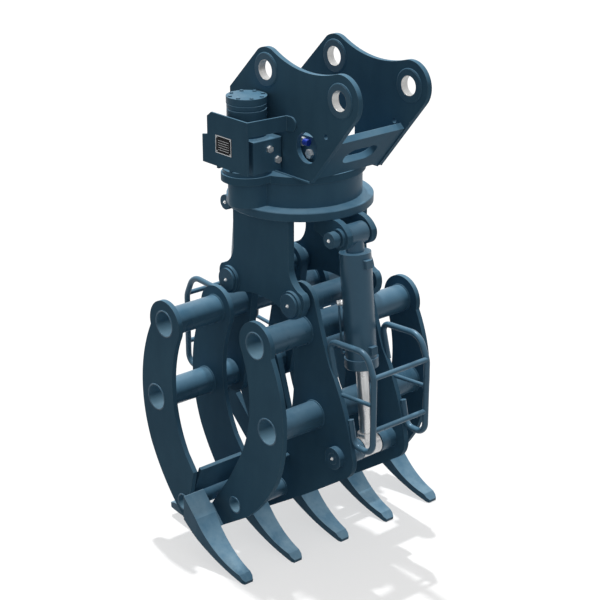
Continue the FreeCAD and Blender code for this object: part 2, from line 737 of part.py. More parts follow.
def tooth(y, edges, root, bend, tip):
    """Tooth: a side profile cut by a plan that narrows from its bend to its point."""
    body = plate(edges, y - TOOTH_W / 2, TOOTH_W)
    half = TOOTH_W / 2
    half_tip = TOOTH_TIP_W / 2
    plan = [V(root, y - half, 0), V(root, y + half, 0), V(bend, y + half, 0),
            V(tip + 14, y + half_tip + 3, 0), V(tip - 1, y + half_tip - 6, 0),
            V(tip - 1, y - half_tip + 6, 0), V(tip + 14, y - half_tip - 3, 0), V(bend, y - half, 0)]
    column = Part.Face(Part.makePolygon(plan + plan[:1])).extrude(V(0, 0, 700))
    column.translate(V(0, 0, LEFT_TIP[1] - 150))
    return body.common(column)


def left_tooth(y):
    """Left tooth: starts on the front of the shoe and runs in under the right jaw."""
    top = LEFT_SHOE[1]
    low = LEFT_SHOE[2]
    bend = (-13.0, -1868.0)
    flat = (-270.0, -2031.0)
    point = (LEFT_TIP[0] + 3, LEFT_TIP[1] - TIP_T + 1)
    edges = [line(top, bend), arc(bend, (-143.0, -1985.0), flat), line(flat, LEFT_TIP),
             line(LEFT_TIP, point), arc(point, (-91.0, -1999.0), low), line(low, top)]
    return tooth(y, edges, low[0] + 5, bend[0], LEFT_TIP[0])


def right_tooth(y):
    """Right tooth: carries on the toe of the shoe, above the left teeth."""
    top = RIGHT_SHOE[1]
    low = RIGHT_SHOE[2]
    flat = (-354.0, -1992.0)
    point = (RIGHT_TIP[0] + 2, RIGHT_TIP[1] - TIP_T - 2)
    edges = [arc(top, (-220.0, -1965.0), flat), line(flat, RIGHT_TIP), line(RIGHT_TIP, point),
             arc(point, (-297.0, -2028.0), low), line(low, top)]
    return tooth(y, edges, low[0] + 5, top[0], RIGHT_TIP[0])


def cross_tubes(small, reach):
    """Two large tubes and a small one that tie the tines of a jaw together."""
    made = [tube_y(centre, TUBE_R, TUBE_R - TUBE_WALL, -reach, reach)
            for centre in (UPPER_TUBE, MIDDLE_TUBE)]
    made.append(tube_y(small, SMALL_TUBE_R, SMALL_TUBE_R - SMALL_TUBE_WALL, -reach, reach))
    return group(made)


def pivot_tube():
    reach = SIDE_FACE - SIDE_T - SIDE_PLAY
    return tube_y((PIVOT_X, PIVOT_Z), PIVOT_TUBE_R, JAW_PIN_R + RUN, -reach, reach)


def left_arms():
    """Two tapered arms from the pivot to the middle tube."""
    made = []
    pivot = (PIVOT_X, PIVOT_Z)
    for y in (-PITCH / 2, PITCH / 2):
        y_low = y - ARM_T / 2
        arm = plate(link_edges(pivot, 75, MIDDLE_TUBE, 90), y_low, ARM_T)
        holes = [(pivot, PIVOT_TUBE_R), (UPPER_TUBE, TUBE_R), (MIDDLE_TUBE, TUBE_R)]
        made.append(tube_holes(arm, holes, y_low, ARM_T))
    return made


def left_brackets():
    """Plates that carry the left cylinder's lower pin from the middle and small tubes."""
    made = []
    pin = CYL_LOW
    small = LEFT_SMALL_TUBE
    for y_low in (-LUG_IN - LUG_T, LUG_IN):
        rounds = [plate(link_edges(pin, 50, MIDDLE_TUBE, 76), y_low, LUG_T),
                  plate(link_edges(pin, 50, small, 44), y_low, LUG_T),
                  plate(link_edges(MIDDLE_TUBE, 76, small, 44), y_low, LUG_T)]
        solid = rounds[0].fuse(rounds[1:]).removeSplitter()
        holes = [(pin, CYL_PIN_R + RUN), (MIDDLE_TUBE, TUBE_R), (small, SMALL_TUBE_R)]
        made.append(tube_holes(solid, holes, y_low, LUG_T))
    return made


LEFT_WEB = [(40.0, -1681.0), (54.6, -1674.4), (115.5, -1808.0), (100.9, -1815.0)]
RIGHT_WEB = [(118.0, -1652.0), (128.0, -1660.0), (92.0, -1700.0), (82.0, -1692.0)]


def web_plates(outline, small, heights, brackets):
    """Plates between neighbouring tines, along the floor of the jaw."""
    made = []
    for a, b in zip(heights, heights[1:]):
        low = a + TINE_T / 2
        web = plate(chain(outline + outline[:1]), low, b - a - TINE_T)
        web = web.cut(rod_y(small, SMALL_TUBE_R, low - 1, b))
        for bracket in brackets:
            web = web.cut(bracket)
        made += web.Solids
    return group(made)


PIN_BOSS_OUT = WIDE_Y + TINE_T / 2 + 24


def pin_bosses():
    """Bosses for the right cylinder's lower pin, through the wide tines."""
    made = []
    for low, high in ((-PIN_BOSS_OUT, -LUG_IN), (LUG_IN, PIN_BOSS_OUT)):
        made.append(tube_y(CYL_LOW, CYL_PIN_R + 22, CYL_PIN_R + RUN, low, high))
    return group(made)


def lower_pin(side, reach):
    centre = (side * CYL_LOW[0], CYL_LOW[1])
    return rod_y(centre, CYL_PIN_R, -reach, reach)


# Guards: bent bars round the outside of each cylinder
def bent_bar(points, radius, bends):
    """Round bar along straight runs joined by tangent arcs."""
    edges = []
    start = points[0]
    for before, corner, after, bend in zip(points, points[1:], points[2:], bends):
        a = (before - corner)
        b = (after - corner)
        a.normalize()
        b.normalize()
        half = a.getAngle(b) / 2
        trim = bend / math.tan(half)
        inward = a + b
        inward.normalize()
        centre = corner + inward * (bend / math.sin(half))
        first = corner + a * trim
        last = corner + b * trim
        edges.append(Part.makeLine(start, first))
        edges.append(Part.Arc(first, centre - inward * bend, last).toShape())
        start = last
    edges.append(Part.makeLine(start, points[-1]))
    path = Part.Wire(edges)
    direction = points[1] - points[0]
    profile = Part.Wire(Part.makeCircle(radius, points[0], direction))
    return path.makePipeShell([profile], True, True)


# Each guard's loop: where it leaves its plate, its inner crest and where it comes back
LEFT_LOOP = [(322.0, -1200.0), (316.0, -1066.0), (350.0, -1430.0)]
RIGHT_LOOP = [(390.0, -1215.0), (350.0, -1066.0), (GUARD_OUT - 132.0, -1372.0)]
LOOP_CREST = -1052.0
LOOP_LOW = -1482.0
LOOP_BACK = 107.0           # width of the hook at the bottom of a loop
LOOP_BENDS = [34, 70, 70, 48, 44]
RUNGS = (-1146.0, -1378.0)
BRACE_START = (330.0, -1288.0)
BRACE_END_Z = -1266.0


def cylinder_guard(carriers, y_half, loop_points):
    """Two bent loops, two cross rods and two short braces, cut to sit on their carriers."""
    leave, crest, back = loop_points
    solid = None
    for y in (-y_half, y_half):
        path = [leave, crest, (GUARD_OUT - 46, LOOP_CREST), (GUARD_OUT, -1150.0),
                (GUARD_OUT, LOOP_LOW), (GUARD_OUT - LOOP_BACK, LOOP_LOW), back]
        loop = bent_bar([V(x, y, z) for x, z in path], GUARD_R, LOOP_BENDS)
        brace_start = V(BRACE_START[0], y, BRACE_START[1])
        run = V(GUARD_OUT, y, BRACE_END_Z) - brace_start
        brace = Part.makeCylinder(GUARD_ROD_R - 2, run.Length, brace_start, run)
        loop = loop.fuse(brace)
        solid = loop if solid is None else solid.fuse(loop)
    for z in RUNGS:
        solid = solid.fuse(rod_y((GUARD_OUT, z), GUARD_ROD_R, -y_half, y_half))
    for carrier in carriers:
        solid = solid.cut(carrier)
    return keep_largest(solid)


def keep_largest(shape):
    return max(shape.Solids, key=lambda s: s.Volume)


# Cylinders, built hanging down from the upper pin and then leant to their line
LEAN = math.degrees(math.atan2(CYL_LOW[0] - CYL_TOP[0], CYL_TOP[1] - CYL_LOW[1]))
CYL_LENGTH = math.hypot(CYL_LOW[0] - CYL_TOP[0], CYL_TOP[1] - CYL_LOW[1])
BARREL_START = 74.0
BARREL_END = 566.0
GLAND_T = 44.0
PISTON_FROM = 452.0


def hang(shape, side):
    """Turn a piece from straight down to the cylinder's line, on the wanted side."""
    leant = shape.copy()
    leant.rotate(V(0, 0, 0), ALONG_Y, -LEAN)
    leant.translate(xz(CYL_TOP))
    return leant if side > 0 else mirror_x(leant)


def eye(z, neck_to, radius):
    """Cylinder eye with a neck that meets the tube or the rod."""
    half = CYL_EYE_W / 2
    solid = rod_y((0, z), CYL_EYE_R, -half, half)
    low = min(z, neck_to)
    solid = solid.fuse(rod_z(0, 0, radius, low, low + abs(z - neck_to)))
    return solid.cut(rod_y((0, z), CYL_PIN_R + RUN, -half - 1, half + 1))


def barrel():
    """Closed top with its eye, tube, and two oil ports."""
    tube = rod_z(0, 0, BARREL_R, -BARREL_END + GLAND_T, -BARREL_START)
    bore = rod_z(0, 0, BARREL_R - BARREL_WALL, -BARREL_END - 1, -BARREL_START - 26)
    solid = tube.fuse(eye(0, -BARREL_START - 1, 38))
    for z in (-BARREL_START - 42, -BARREL_END + GLAND_T + 40):
        boss = Part.makeBox(26, 34, 34, V(BARREL_R - 8, -17, z - 17))
        solid = solid.fuse(boss)
    return solid.cut(bore)


def gland():
    ring = rod_z(0, 0, BARREL_R + 5, -BARREL_END, -BARREL_END + GLAND_T)
    ring = ring.makeChamfer(4, [e for e in ring.Edges if e.CenterOfMass.z < -BARREL_END + 1
                                and len(e.Vertexes) == 1])
    return ring.cut(rod_z(0, 0, ROD_R + SWING_ROOM, -BARREL_END - 1, -BARREL_END + GLAND_T + 1))


def rod():
    bar = rod_z(0, 0, ROD_R, -CYL_LENGTH + 20, -PISTON_FROM)
    end = eye(-CYL_LENGTH, -CYL_LENGTH + CYL_EYE_R + 14, ROD_R + 9)
    return end.fuse(bar).cut(rod_y((0, -CYL_LENGTH), CYL_PIN_R + RUN, -CYL_EYE_W, CYL_EYE_W))


def piston():
    return rod_z(0, 0, BARREL_R - BARREL_WALL - SWING_ROOM, -PISTON_FROM, -PISTON_FROM + 48)


def build_head():
    save("left_ear", ear(-1))
    save("right_ear", ear(1))
    save("pin_bosses", group(ear_bosses(-1) + ear_bosses(1)))
    save("front_plate", front_plate())
    save("base_plate", base_plate())
    save("gear_housing", gear_housing())
    save("bearing_inner_ring", inner_ring())
    save("bearing_rollers", rollers())
    save("slewing_motor", motor_body())
    save("motor_cap", motor_cap())
    save("motor_cap_bolts", motor_cap_bolts())
    save("valve_block", valve_block())
    save("valve_plugs", valve_plugs())
    save("port_manifold", port_manifold())
    save("port_fittings", port_fittings())
    save("port_cap", port_cap())
    save("valve_guard", group([valve_guard()] + guard_stays()))
    save("nameplate", nameplate())
    save("swivel_core", swivel_core())
    save("drive_pinion", drive_pinion())


def build_frame():
    save("ring_gear", ring_gear())
    save("swivel_sleeve", swivel_sleeve())
    save("turntable", turntable())
    save("turntable_bolts", turntable_bolts())
    save("left_side_plate", side_plate(-1))
    save("right_side_plate", side_plate(1))
    save("cylinder_lugs", group(top_lugs(-1) + top_lugs(1)))
    save("cylinder_pins", group([top_pin(-1), top_pin(1)]))
    save("jaw_pins", group([jaw_pin(-1), jaw_pin(1)]))


def build_left_jaw():
    heights = tine_heights(LEFT_TINES)
    for i, y in enumerate(heights):
        if abs(y) < 1:
            tine = middle_left_tine()
        else:
            tine = outer_tine(y, LEFT_SHOE, LEFT_SOLE, LEFT_SMALL_TUBE)
        save("left_tine_%d" % (i + 1), mirror_x(tine))
    save("left_teeth", mirror_x(group([left_tooth(y) for y in heights])))
    reach = heights[-1] + TINE_T / 2
    save("left_cross_tubes", mirror_x(cross_tubes(LEFT_SMALL_TUBE, reach)))
    save("left_pivot_tube", mirror_x(pivot_tube()))
    arms = left_arms()
    save("left_arms", mirror_x(group(arms)))
    brackets = left_brackets()
    save("left_cylinder_brackets", mirror_x(group(brackets)))
    save("left_web_plates", mirror_x(web_plates(LEFT_WEB, LEFT_SMALL_TUBE, heights, brackets)))
    save("left_rod_pin", lower_pin(-1, LUG_IN + LUG_T + 12))
    save("left_guard", mirror_x(cylinder_guard(arms, PITCH / 2, LEFT_LOOP)))


def build_right_jaw():
    heights = [-1.5 * PITCH, -WIDE_Y, WIDE_Y, 1.5 * PITCH]
    wide = []
    for i, y in enumerate(heights):
        if abs(y) == WIDE_Y:
            tine = arm_tine(y)
            wide.append(tine)
        else:
            tine = outer_tine(y, RIGHT_SHOE, RIGHT_SOLE, RIGHT_SMALL_TUBE)
        save("right_tine_%d" % (i + 1), tine)
    save("right_teeth", group([right_tooth(y) for y in heights]))
    reach = heights[-1] + TINE_T / 2
    save("right_cross_tubes", cross_tubes(RIGHT_SMALL_TUBE, reach))
    save("right_pivot_tube", pivot_tube())
    save("right_web_plates", web_plates(RIGHT_WEB, RIGHT_SMALL_TUBE, heights, []))
    save("right_rod_pin_bosses", pin_bosses())
    save("right_rod_pin", lower_pin(1, PIN_BOSS_OUT))
    save("right_guard", cylinder_guard(wide, WIDE_Y, RIGHT_LOOP))


def build_cylinders():
    for name, side in (("left", -1), ("right", 1)):
        save(name + "_barrel", hang(barrel(), side))
        save(name + "_gland", hang(gland(), side))
        save(name + "_rod", hang(rod().fuse(piston()), side))


def main():
    os.makedirs("parts", exist_ok=True)
    build_head()
    build_frame()
    build_left_jaw()
    build_right_jaw()
    build_cylinders()


main()
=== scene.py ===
import math

import bmesh
import bpy
from mathutils import Matrix, Vector


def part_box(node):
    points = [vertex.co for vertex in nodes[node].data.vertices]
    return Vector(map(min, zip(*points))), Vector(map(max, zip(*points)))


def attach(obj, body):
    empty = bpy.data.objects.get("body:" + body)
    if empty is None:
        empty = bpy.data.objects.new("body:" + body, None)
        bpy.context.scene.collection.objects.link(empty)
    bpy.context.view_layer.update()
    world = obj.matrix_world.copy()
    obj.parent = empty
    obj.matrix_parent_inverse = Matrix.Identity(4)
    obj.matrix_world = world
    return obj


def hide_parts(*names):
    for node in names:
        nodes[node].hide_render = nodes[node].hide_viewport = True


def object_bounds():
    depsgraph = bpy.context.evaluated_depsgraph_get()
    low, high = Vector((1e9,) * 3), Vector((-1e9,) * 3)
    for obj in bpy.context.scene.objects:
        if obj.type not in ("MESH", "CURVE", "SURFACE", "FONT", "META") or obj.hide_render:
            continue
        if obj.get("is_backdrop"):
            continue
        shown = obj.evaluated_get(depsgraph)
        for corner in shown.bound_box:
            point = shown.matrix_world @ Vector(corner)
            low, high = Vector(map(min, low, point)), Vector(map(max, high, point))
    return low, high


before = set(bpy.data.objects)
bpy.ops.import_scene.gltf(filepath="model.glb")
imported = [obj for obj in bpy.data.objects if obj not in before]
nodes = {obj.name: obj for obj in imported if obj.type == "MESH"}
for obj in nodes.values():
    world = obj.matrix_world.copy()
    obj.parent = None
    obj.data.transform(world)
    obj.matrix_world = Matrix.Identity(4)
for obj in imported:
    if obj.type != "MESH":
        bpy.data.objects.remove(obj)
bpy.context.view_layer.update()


# The head's plates: two ears, the slanting front plate, the floor and the drum round the gear.
# Plain steel plate, flame cut and welded, then sprayed with one blue-grey enamel all over,
# which pools a little. Its edges get a painted highlight, broken up like wear, and its level
# faces are paler in patches: dust, with painted light on the tops.
def tone(red, green, blue):
    """A colour picked as 0-255 on a screen, as the value a shader socket takes."""
    linear = []
    for value in (red, green, blue):
        value /= 255
        linear.append(value / 12.92 if value <= 0.04045 else ((value + 0.055) / 1.055) ** 2.4)
    return (*linear, 1.0)


def new_group(name, inputs, outputs):
    """An empty shader group with its named sockets, and its two end nodes."""
    group = bpy.data.node_groups.new(name, "ShaderNodeTree")
    for kind, label, default in inputs:
        socket = group.interface.new_socket(name=label, in_out="INPUT", socket_type=kind)
        socket.default_value = default
    for kind, label in outputs:
        group.interface.new_socket(name=label, in_out="OUTPUT", socket_type=kind)
    return group, group.nodes.new("NodeGroupInput"), group.nodes.new("NodeGroupOutput")


def add(tree, kind, settings=None, **sockets):
    """One node, with its properties set, and its inputs given a value or joined to an output."""
    node = tree.nodes.new(kind)
    for name, value in (settings or {}).items():
        setattr(node, name, value)
    for name, value in sockets.items():
        place = int(name[1:]) if name[0] == "i" and name[1:].isdigit() else name.replace("_", " ")
        if isinstance(value, bpy.types.NodeSocket):
            tree.links.new(value, node.inputs[place])
        else:
            node.inputs[place].default_value = value
    return node


def maths(tree, operation, first, second=0.0, third=None):
    """The output of one Math node."""
    sockets = {"i0": first, "i1": second}
    if third is not None:
        sockets["i2"] = third
    return add(tree, "ShaderNodeMath", {"operation": operation}, **sockets).outputs[0]


def blend_colours(tree, share, first, second, way="MIX"):
    """The output of one colour Mix node."""
    node = add(tree, "ShaderNodeMix", {"data_type": "RGBA", "blend_type": way}, i0=share, i6=first, i7=second)
    return node.outputs[2]


def cloud(tree, place, scale, detail=2.0, roughness=0.5):
    """The grey value of one Noise texture."""
    node = add(tree, "ShaderNodeTexNoise", Vector=place, Scale=scale, Detail=detail, Roughness=roughness)
    return node.outputs["Fac"]


def ramp(tree, value, low, high, out_low=0.0, out_high=1.0):
    """A value stretched from one span to another and kept inside it."""
    node = add(tree, "ShaderNodeMapRange", {"clamp": True}, i0=value, i1=low, i2=high, i3=out_low,
               i4=out_high)
    return node.outputs[0]


def stretched(tree, place, x, y, z):
    """Coordinates with another scale along each axis."""
    return add(tree, "ShaderNodeMapping", Vector=place, Scale=(x, y, z)).outputs[0]


def edge_group():
    """Where a body's edges are, how round the paint makes them, and a broken mask along them, for wear and
    for painted highlight.
    """
    group, given, result = new_group(
        "edge_wear_and_highlight",
        [("NodeSocketFloat", "Radius", 0.003), ("NodeSocketFloat", "Breakup", 0.5)],
        [("NodeSocketFloat", "Mask"), ("NodeSocketVector", "Normal")])
    place = add(group, "ShaderNodeTexCoord").outputs["Object"]
    rounded = add(group, "ShaderNodeBevel", {"samples": 6}, Radius=given.outputs["Radius"]).outputs[0]
    true = add(group, "ShaderNodeNewGeometry").outputs["Normal"]
    turn = add(group, "ShaderNodeVectorMath", {"operation": "DOT_PRODUCT"}, i0=rounded, i1=true)
    facing = turn.outputs["Value"]
    edge = ramp(group, facing, 0.995, 0.86)
    patches = ramp(group, cloud(group, place, 38.0, 4.0, 0.65), 0.38, 0.62)
    kept = maths(group, "MULTIPLY", maths(group, "SUBTRACT", 1.0, patches), given.outputs["Breakup"])
    wear_and_highlight = maths(group, "MULTIPLY", edge, maths(group, "SUBTRACT", 1.0, kept))
    group.links.new(wear_and_highlight, result.inputs["Mask"])
    group.links.new(rounded, result.inputs["Normal"])
    return group


def film_group():
    """Sprayed enamel: slow change of tone, runs, fine orange peel."""
    group, given, result = new_group(
        "sprayed_film",
        [("NodeSocketFloat", "Peel", 1.0)],
        [("NodeSocketFloat", "Tone"), ("NodeSocketFloat", "Height")])
    place = add(group, "ShaderNodeTexCoord").outputs["Object"]
    slow = cloud(group, place, 2.6, 4.0, 0.6)
    drift = cloud(group, stretched(group, place, 1.0, 1.0, 0.22), 16.0, 3.0)
    shade = maths(group, "MULTIPLY_ADD", drift, 0.3, maths(group, "MULTIPLY", slow, 0.7))
    peel = cloud(group, place, 330.0, 1.0)
    waves = cloud(group, place, 34.0, 2.0)
    height = maths(group, "MULTIPLY_ADD", peel, given.outputs["Peel"], maths(group, "MULTIPLY", waves, 1.6))
    group.links.new(shade, result.inputs["Tone"])
    group.links.new(height, result.inputs["Height"])
    return group


def dust_and_top_light_group():
    """Paler on faces that look up, thicker in patches: dust, and painted light on the tops."""
    group, given, result = new_group(
        "dust_and_painted_top_light",
        [("NodeSocketFloat", "Amount", 0.3)],
        [("NodeSocketFloat", "Mask")])
    place = add(group, "ShaderNodeTexCoord").outputs["Object"]
    normal = add(group, "ShaderNodeNewGeometry").outputs["Normal"]
    up = add(group, "ShaderNodeSeparateXYZ", Vector=normal).outputs["Z"]
    level = ramp(group, up, 0.35, 0.95)
    patches = ramp(group, cloud(group, place, 9.0, 5.0, 0.65), 0.3, 0.75)
    dust_and_top_light = maths(group, "MULTIPLY", maths(group, "MULTIPLY", level, patches), given.outputs["Amount"])
    group.links.new(dust_and_top_light, result.inputs["Mask"])
    return group


def cut_group():
    """Fine lines of the flame across the thickness of a plate that lies in the XZ plane."""
    group, given, result = new_group(
        "flame_cut",
        [("NodeSocketFloat", "Depth", 1.0)],
        [("NodeSocketFloat", "Height")])
    place = add(group, "ShaderNodeTexCoord").outputs["Object"]
    normal = add(group, "ShaderNodeNewGeometry").outputs["True Normal"]
    across = maths(group, "ABSOLUTE", add(group, "ShaderNodeSeparateXYZ", Vector=normal).outputs["Y"])
    on_edge = ramp(group, across, 0.5, 0.2)
    lines = cloud(group, stretched(group, place, 1.0, 0.035, 1.0), 260.0, 2.0)
    height = maths(group, "MULTIPLY", maths(group, "MULTIPLY", lines, on_edge), given.outputs["Depth"])
    group.links.new(height, result.inputs["Height"])
    return group


EDGE, FILM, DUST_AND_TOP_LIGHT, CUT = edge_group(), film_group(), dust_and_top_light_group(), cut_group()

PAINT_DEEP = tone(64, 100, 123)
PAINT_PALE = tone(74, 112, 135)
# The edge colour is a painted highlight: edges lighter as if they caught the light, broken up in patches like
# wear.
PAINT_EDGE_HIGHLIGHT = tone(132, 163, 181)
# The pale colour on faces that look up is dust and painted light on the tops together.
PAINT_DUST_AND_TOP_LIGHT = tone(134, 160, 174)
PAINT_GLEAM = (0.55, 0.78, 1.0, 1.0)


def new_material(name):
    """An empty material with its Principled shader."""
    material = bpy.data.materials.new(name)
    material.use_nodes = True
    tree = material.node_tree
    return material, tree, tree.nodes["Principled BSDF"]


def use_group(tree, group, **values):
    """A shader group placed in a material with its own values."""
    node = tree.nodes.new("ShaderNodeGroup")
    node.node_tree = group
    for name, value in values.items():
        node.inputs[name].default_value = value
    return node


def enamel(name, edge_radius=0.003, edge_highlight_share=0.55, cut=0.0, dust_and_top_light_share=0.35, peel=1.0, shine=0.1, rough=0.36,
           deep=PAINT_DEEP, pale=PAINT_PALE):
    """The blue-grey enamel, for one kind of steel under it."""
    material, tree, shader = new_material(name)
    film = use_group(tree, FILM, Peel=peel)
    edge = use_group(tree, EDGE, Radius=edge_radius, Breakup=0.55)
    dust_and_top_light = use_group(tree, DUST_AND_TOP_LIGHT, Amount=dust_and_top_light_share)
    colour = blend_colours(tree, ramp(tree, film.outputs["Tone"], 0.36, 0.64), deep, pale)
    # Painted highlight along the edges, broken up like wear.
    wear_and_highlight = maths(tree, "MULTIPLY", edge.outputs["Mask"], edge_highlight_share)
    colour = blend_colours(tree, wear_and_highlight, colour, PAINT_EDGE_HIGHLIGHT)
    # Dust and painted light on the faces that look up.
    colour = blend_colours(tree, dust_and_top_light.outputs["Mask"], colour, PAINT_DUST_AND_TOP_LIGHT)
    tree.links.new(colour, shader.inputs["Base Color"])
    gloss = ramp(tree, film.outputs["Tone"], 0.3, 0.7, rough, rough + 0.1)
    gloss = maths(tree, "MULTIPLY_ADD", dust_and_top_light.outputs["Mask"], 0.3, gloss)
    tree.links.new(gloss, shader.inputs["Roughness"])
    height = film.outputs["Height"]
    if cut:
        height = maths(tree, "ADD", height, use_group(tree, CUT, Depth=cut).outputs["Height"])
    bump = add(tree, "ShaderNodeBump", Strength=0.16, Distance=0.0006, Height=height,
               Normal=edge.outputs["Normal"])
    tree.links.new(bump.outputs[0], shader.inputs["Normal"])
    shader.inputs["Specular IOR Level"].default_value = shine
    shader.inputs["Specular Tint"].default_value = PAINT_GLEAM
    return material


def dress(material, *names):
    """The material takes every slot of these CAD nodes."""
    for name in names:
        mesh = nodes[name].data
        for place in range(max(1, len(mesh.materials))):
            if mesh.materials:
                mesh.materials[place] = material
            else:
                mesh.materials.append(material)


PLATE_PAINT = enamel("painted_cut_plate", cut=3.0, shine=0.02)
SMOOTH_PAINT = enamel("painted_steel", edge_radius=0.002)
dress(PLATE_PAINT, "left_ear", "right_ear", "front_plate", "base_plate", "valve_guard")
dress(SMOOTH_PAINT, "gear_housing")


# The bosses of the four pin holes: turned steel rings welded into the ears. Their rims are
# painted with the ears, and the bores are masked off and stay bright, with fine turning lines.
PIN_AXES = ((0.0, 0.0), (0.433, -0.043))
BORE_EDGE = 0.0405
BARE_PALE = tone(214, 214, 212)
BARE_DEEP = tone(186, 187, 187)


def bored_boss():
    """Enamel outside, and bare turned steel within the bores' radius of either pin axis."""
    material, tree, shader = new_material("bored_boss")
    place = add(tree, "ShaderNodeTexCoord").outputs["Object"]
    flat = stretched(tree, place, 1.0, 0.0, 1.0)
    near = None
    for x, z in PIN_AXES:
        apart = add(tree, "ShaderNodeVectorMath", {"operation": "DISTANCE"}, i0=flat, i1=(x, 0, z))
        away = apart.outputs["Value"]
        near = away if near is None else maths(tree, "MINIMUM", near, away)
    bare = maths(tree, "LESS_THAN", near, BORE_EDGE)
    film = use_group(tree, FILM, Peel=1.0)
    edge = use_group(tree, EDGE, Radius=0.002, Breakup=0.5)
    lines = cloud(tree, stretched(tree, place, 0.02, 1.0, 0.02), 900.0, 2.0)
    steel = blend_colours(tree, ramp(tree, lines, 0.3, 0.7), BARE_DEEP, BARE_PALE)
    coat = blend_colours(tree, ramp(tree, film.outputs["Tone"], 0.36, 0.64), PAINT_DEEP, PAINT_PALE)
    # Painted highlight along the rims' edges, broken up like wear.
    coat = blend_colours(tree, maths(tree, "MULTIPLY", edge.outputs["Mask"], 0.5), coat, PAINT_EDGE_HIGHLIGHT)
    tree.links.new(blend_colours(tree, bare, coat, steel), shader.inputs["Base Color"])
    tree.links.new(maths(tree, "MULTIPLY", bare, 0.55), shader.inputs["Metallic"])
    shader.inputs["Specular IOR Level"].default_value = 0.12
    rough = maths(tree, "SUBTRACT", 0.38, maths(tree, "MULTIPLY", bare, 0.06))
    tree.links.new(rough, shader.inputs["Roughness"])
    height = maths(tree, "MULTIPLY_ADD", maths(tree, "MULTIPLY", lines, bare), 1.4, film.outputs["Height"])
    bump = add(tree, "ShaderNodeBump", Strength=0.18, Distance=0.0005, Height=height,
               Normal=edge.outputs["Normal"])
    tree.links.new(bump.outputs[0], shader.inputs["Normal"])
    return material


dress(bored_boss(), "pin_bosses")


# The slewing motor and its cap, cast iron housings, and the valve block, milled from bar. They
# are bolted on before spraying, so all of it wears the same enamel, rougher over the castings.
CAST_PAINT = enamel("painted_casting", edge_radius=0.0025, peel=2.6, edge_highlight_share=0.45)
BOLT_PAINT = enamel("painted_bolts", edge_radius=0.0012, edge_highlight_share=0.7, pale=tone(94, 130, 152))
dress(CAST_PAINT, "slewing_motor", "motor_cap")
dress(SMOOTH_PAINT, "valve_block", "port_manifold")
dress(BOLT_PAINT, "motor_cap_bolts", "turntable_bolts")


# Small hydraulic fittings: zinc plated hexagon plugs, and one moulded blue plastic cap that
# keeps an open port clean. The plating is bright, with a faint cloudy bloom.
def plated():
    """Zinc plate over turned steel."""
    material, tree, shader = new_material("zinc_plate")
    place = add(tree, "ShaderNodeTexCoord").outputs["Object"]
    edge = use_group(tree, EDGE, Radius=0.001, Breakup=0.2)
    bloom = cloud(tree, place, 60.0, 4.0, 0.6)
    colour = blend_colours(tree, ramp(tree, bloom, 0.35, 0.65), tone(232, 233, 233), tone(246, 246, 244))
    tree.links.new(colour, shader.inputs["Base Color"])
    tree.links.new(ramp(tree, bloom, 0.3, 0.7, 0.24, 0.4), shader.inputs["Roughness"])
    shader.inputs["Metallic"].default_value = 0.6
    lines = cloud(tree, stretched(tree, place, 0.05, 1.0, 1.0), 700.0, 1.0)
    bump = add(tree, "ShaderNodeBump", Strength=0.1, Distance=0.0003, Height=lines,
               Normal=edge.outputs["Normal"])
    tree.links.new(bump.outputs[0], shader.inputs["Normal"])
    return material


def moulded_blue():
    """Blue polyethylene with the grain of its mould."""
    material, tree, shader = new_material("blue_plastic")
    place = add(tree, "ShaderNodeTexCoord").outputs["Object"]
    edge = use_group(tree, EDGE, Radius=0.0015, Breakup=0.2)
    grain = cloud(tree, place, 900.0, 2.0)
    colour = blend_colours(tree, cloud(tree, place, 45.0, 3.0), tone(22, 52, 158), tone(34, 70, 190))
    rubbed = maths(tree, "MULTIPLY", edge.outputs["Mask"], 0.35)
    colour = blend_colours(tree, rubbed, colour, tone(92, 122, 214))
    tree.links.new(colour, shader.inputs["Base Color"])
    tree.links.new(ramp(tree, grain, 0.3, 0.7, 0.36, 0.48), shader.inputs["Roughness"])
    bump = add(tree, "ShaderNodeBump", Strength=0.14, Distance=0.0003, Height=grain,
               Normal=edge.outputs["Normal"])
    tree.links.new(bump.outputs[0], shader.inputs["Normal"])
    return material


ZINC = plated()
dress(ZINC, "port_fittings", "valve_plugs")
dress(moulded_blue(), "port_cap")


# The nameplate on the valve guard: black anodised aluminium with a bright milled border and a
# rivet in each corner. It is left bare, with a few empty ruled rows.
def anodised():
    """Black anodised sheet, brushed along its length."""
    material, tree, shader = new_material("black_anodised")
    place = add(tree, "ShaderNodeTexCoord").outputs["Object"]
    brushed = cloud(tree, stretched(tree, place, 0.03, 1.0, 1.0), 800.0, 2.0)
    colour = blend_colours(tree, ramp(tree, brushed, 0.3, 0.7), tone(10, 11, 13), tone(20, 21, 24))
    tree.links.new(colour, shader.inputs["Base Color"])
    tree.links.new(ramp(tree, brushed, 0.3, 0.7, 0.42, 0.56), shader.inputs["Roughness"])
    shader.inputs["Specular IOR Level"].default_value = 0.08
    bump = add(tree, "ShaderNodeBump", Strength=0.06, Distance=0.0002, Height=brushed)
    tree.links.new(bump.outputs[0], shader.inputs["Normal"])
    return material


def bright_aluminium():
    """Milled aluminium, where the black is cut away."""
    material, tree, shader = new_material("bright_aluminium")
    place = add(tree, "ShaderNodeTexCoord").outputs["Object"]
    lines = cloud(tree, stretched(tree, place, 0.04, 1.0, 1.0), 700.0, 2.0)
    colour = blend_colours(tree, lines, tone(168, 172, 176), tone(214, 217, 219))
    tree.links.new(colour, shader.inputs["Base Color"])
    tree.links.new(ramp(tree, lines, 0.3, 0.7, 0.28, 0.42), shader.inputs["Roughness"])
    shader.inputs["Metallic"].default_value = 0.7
    return material


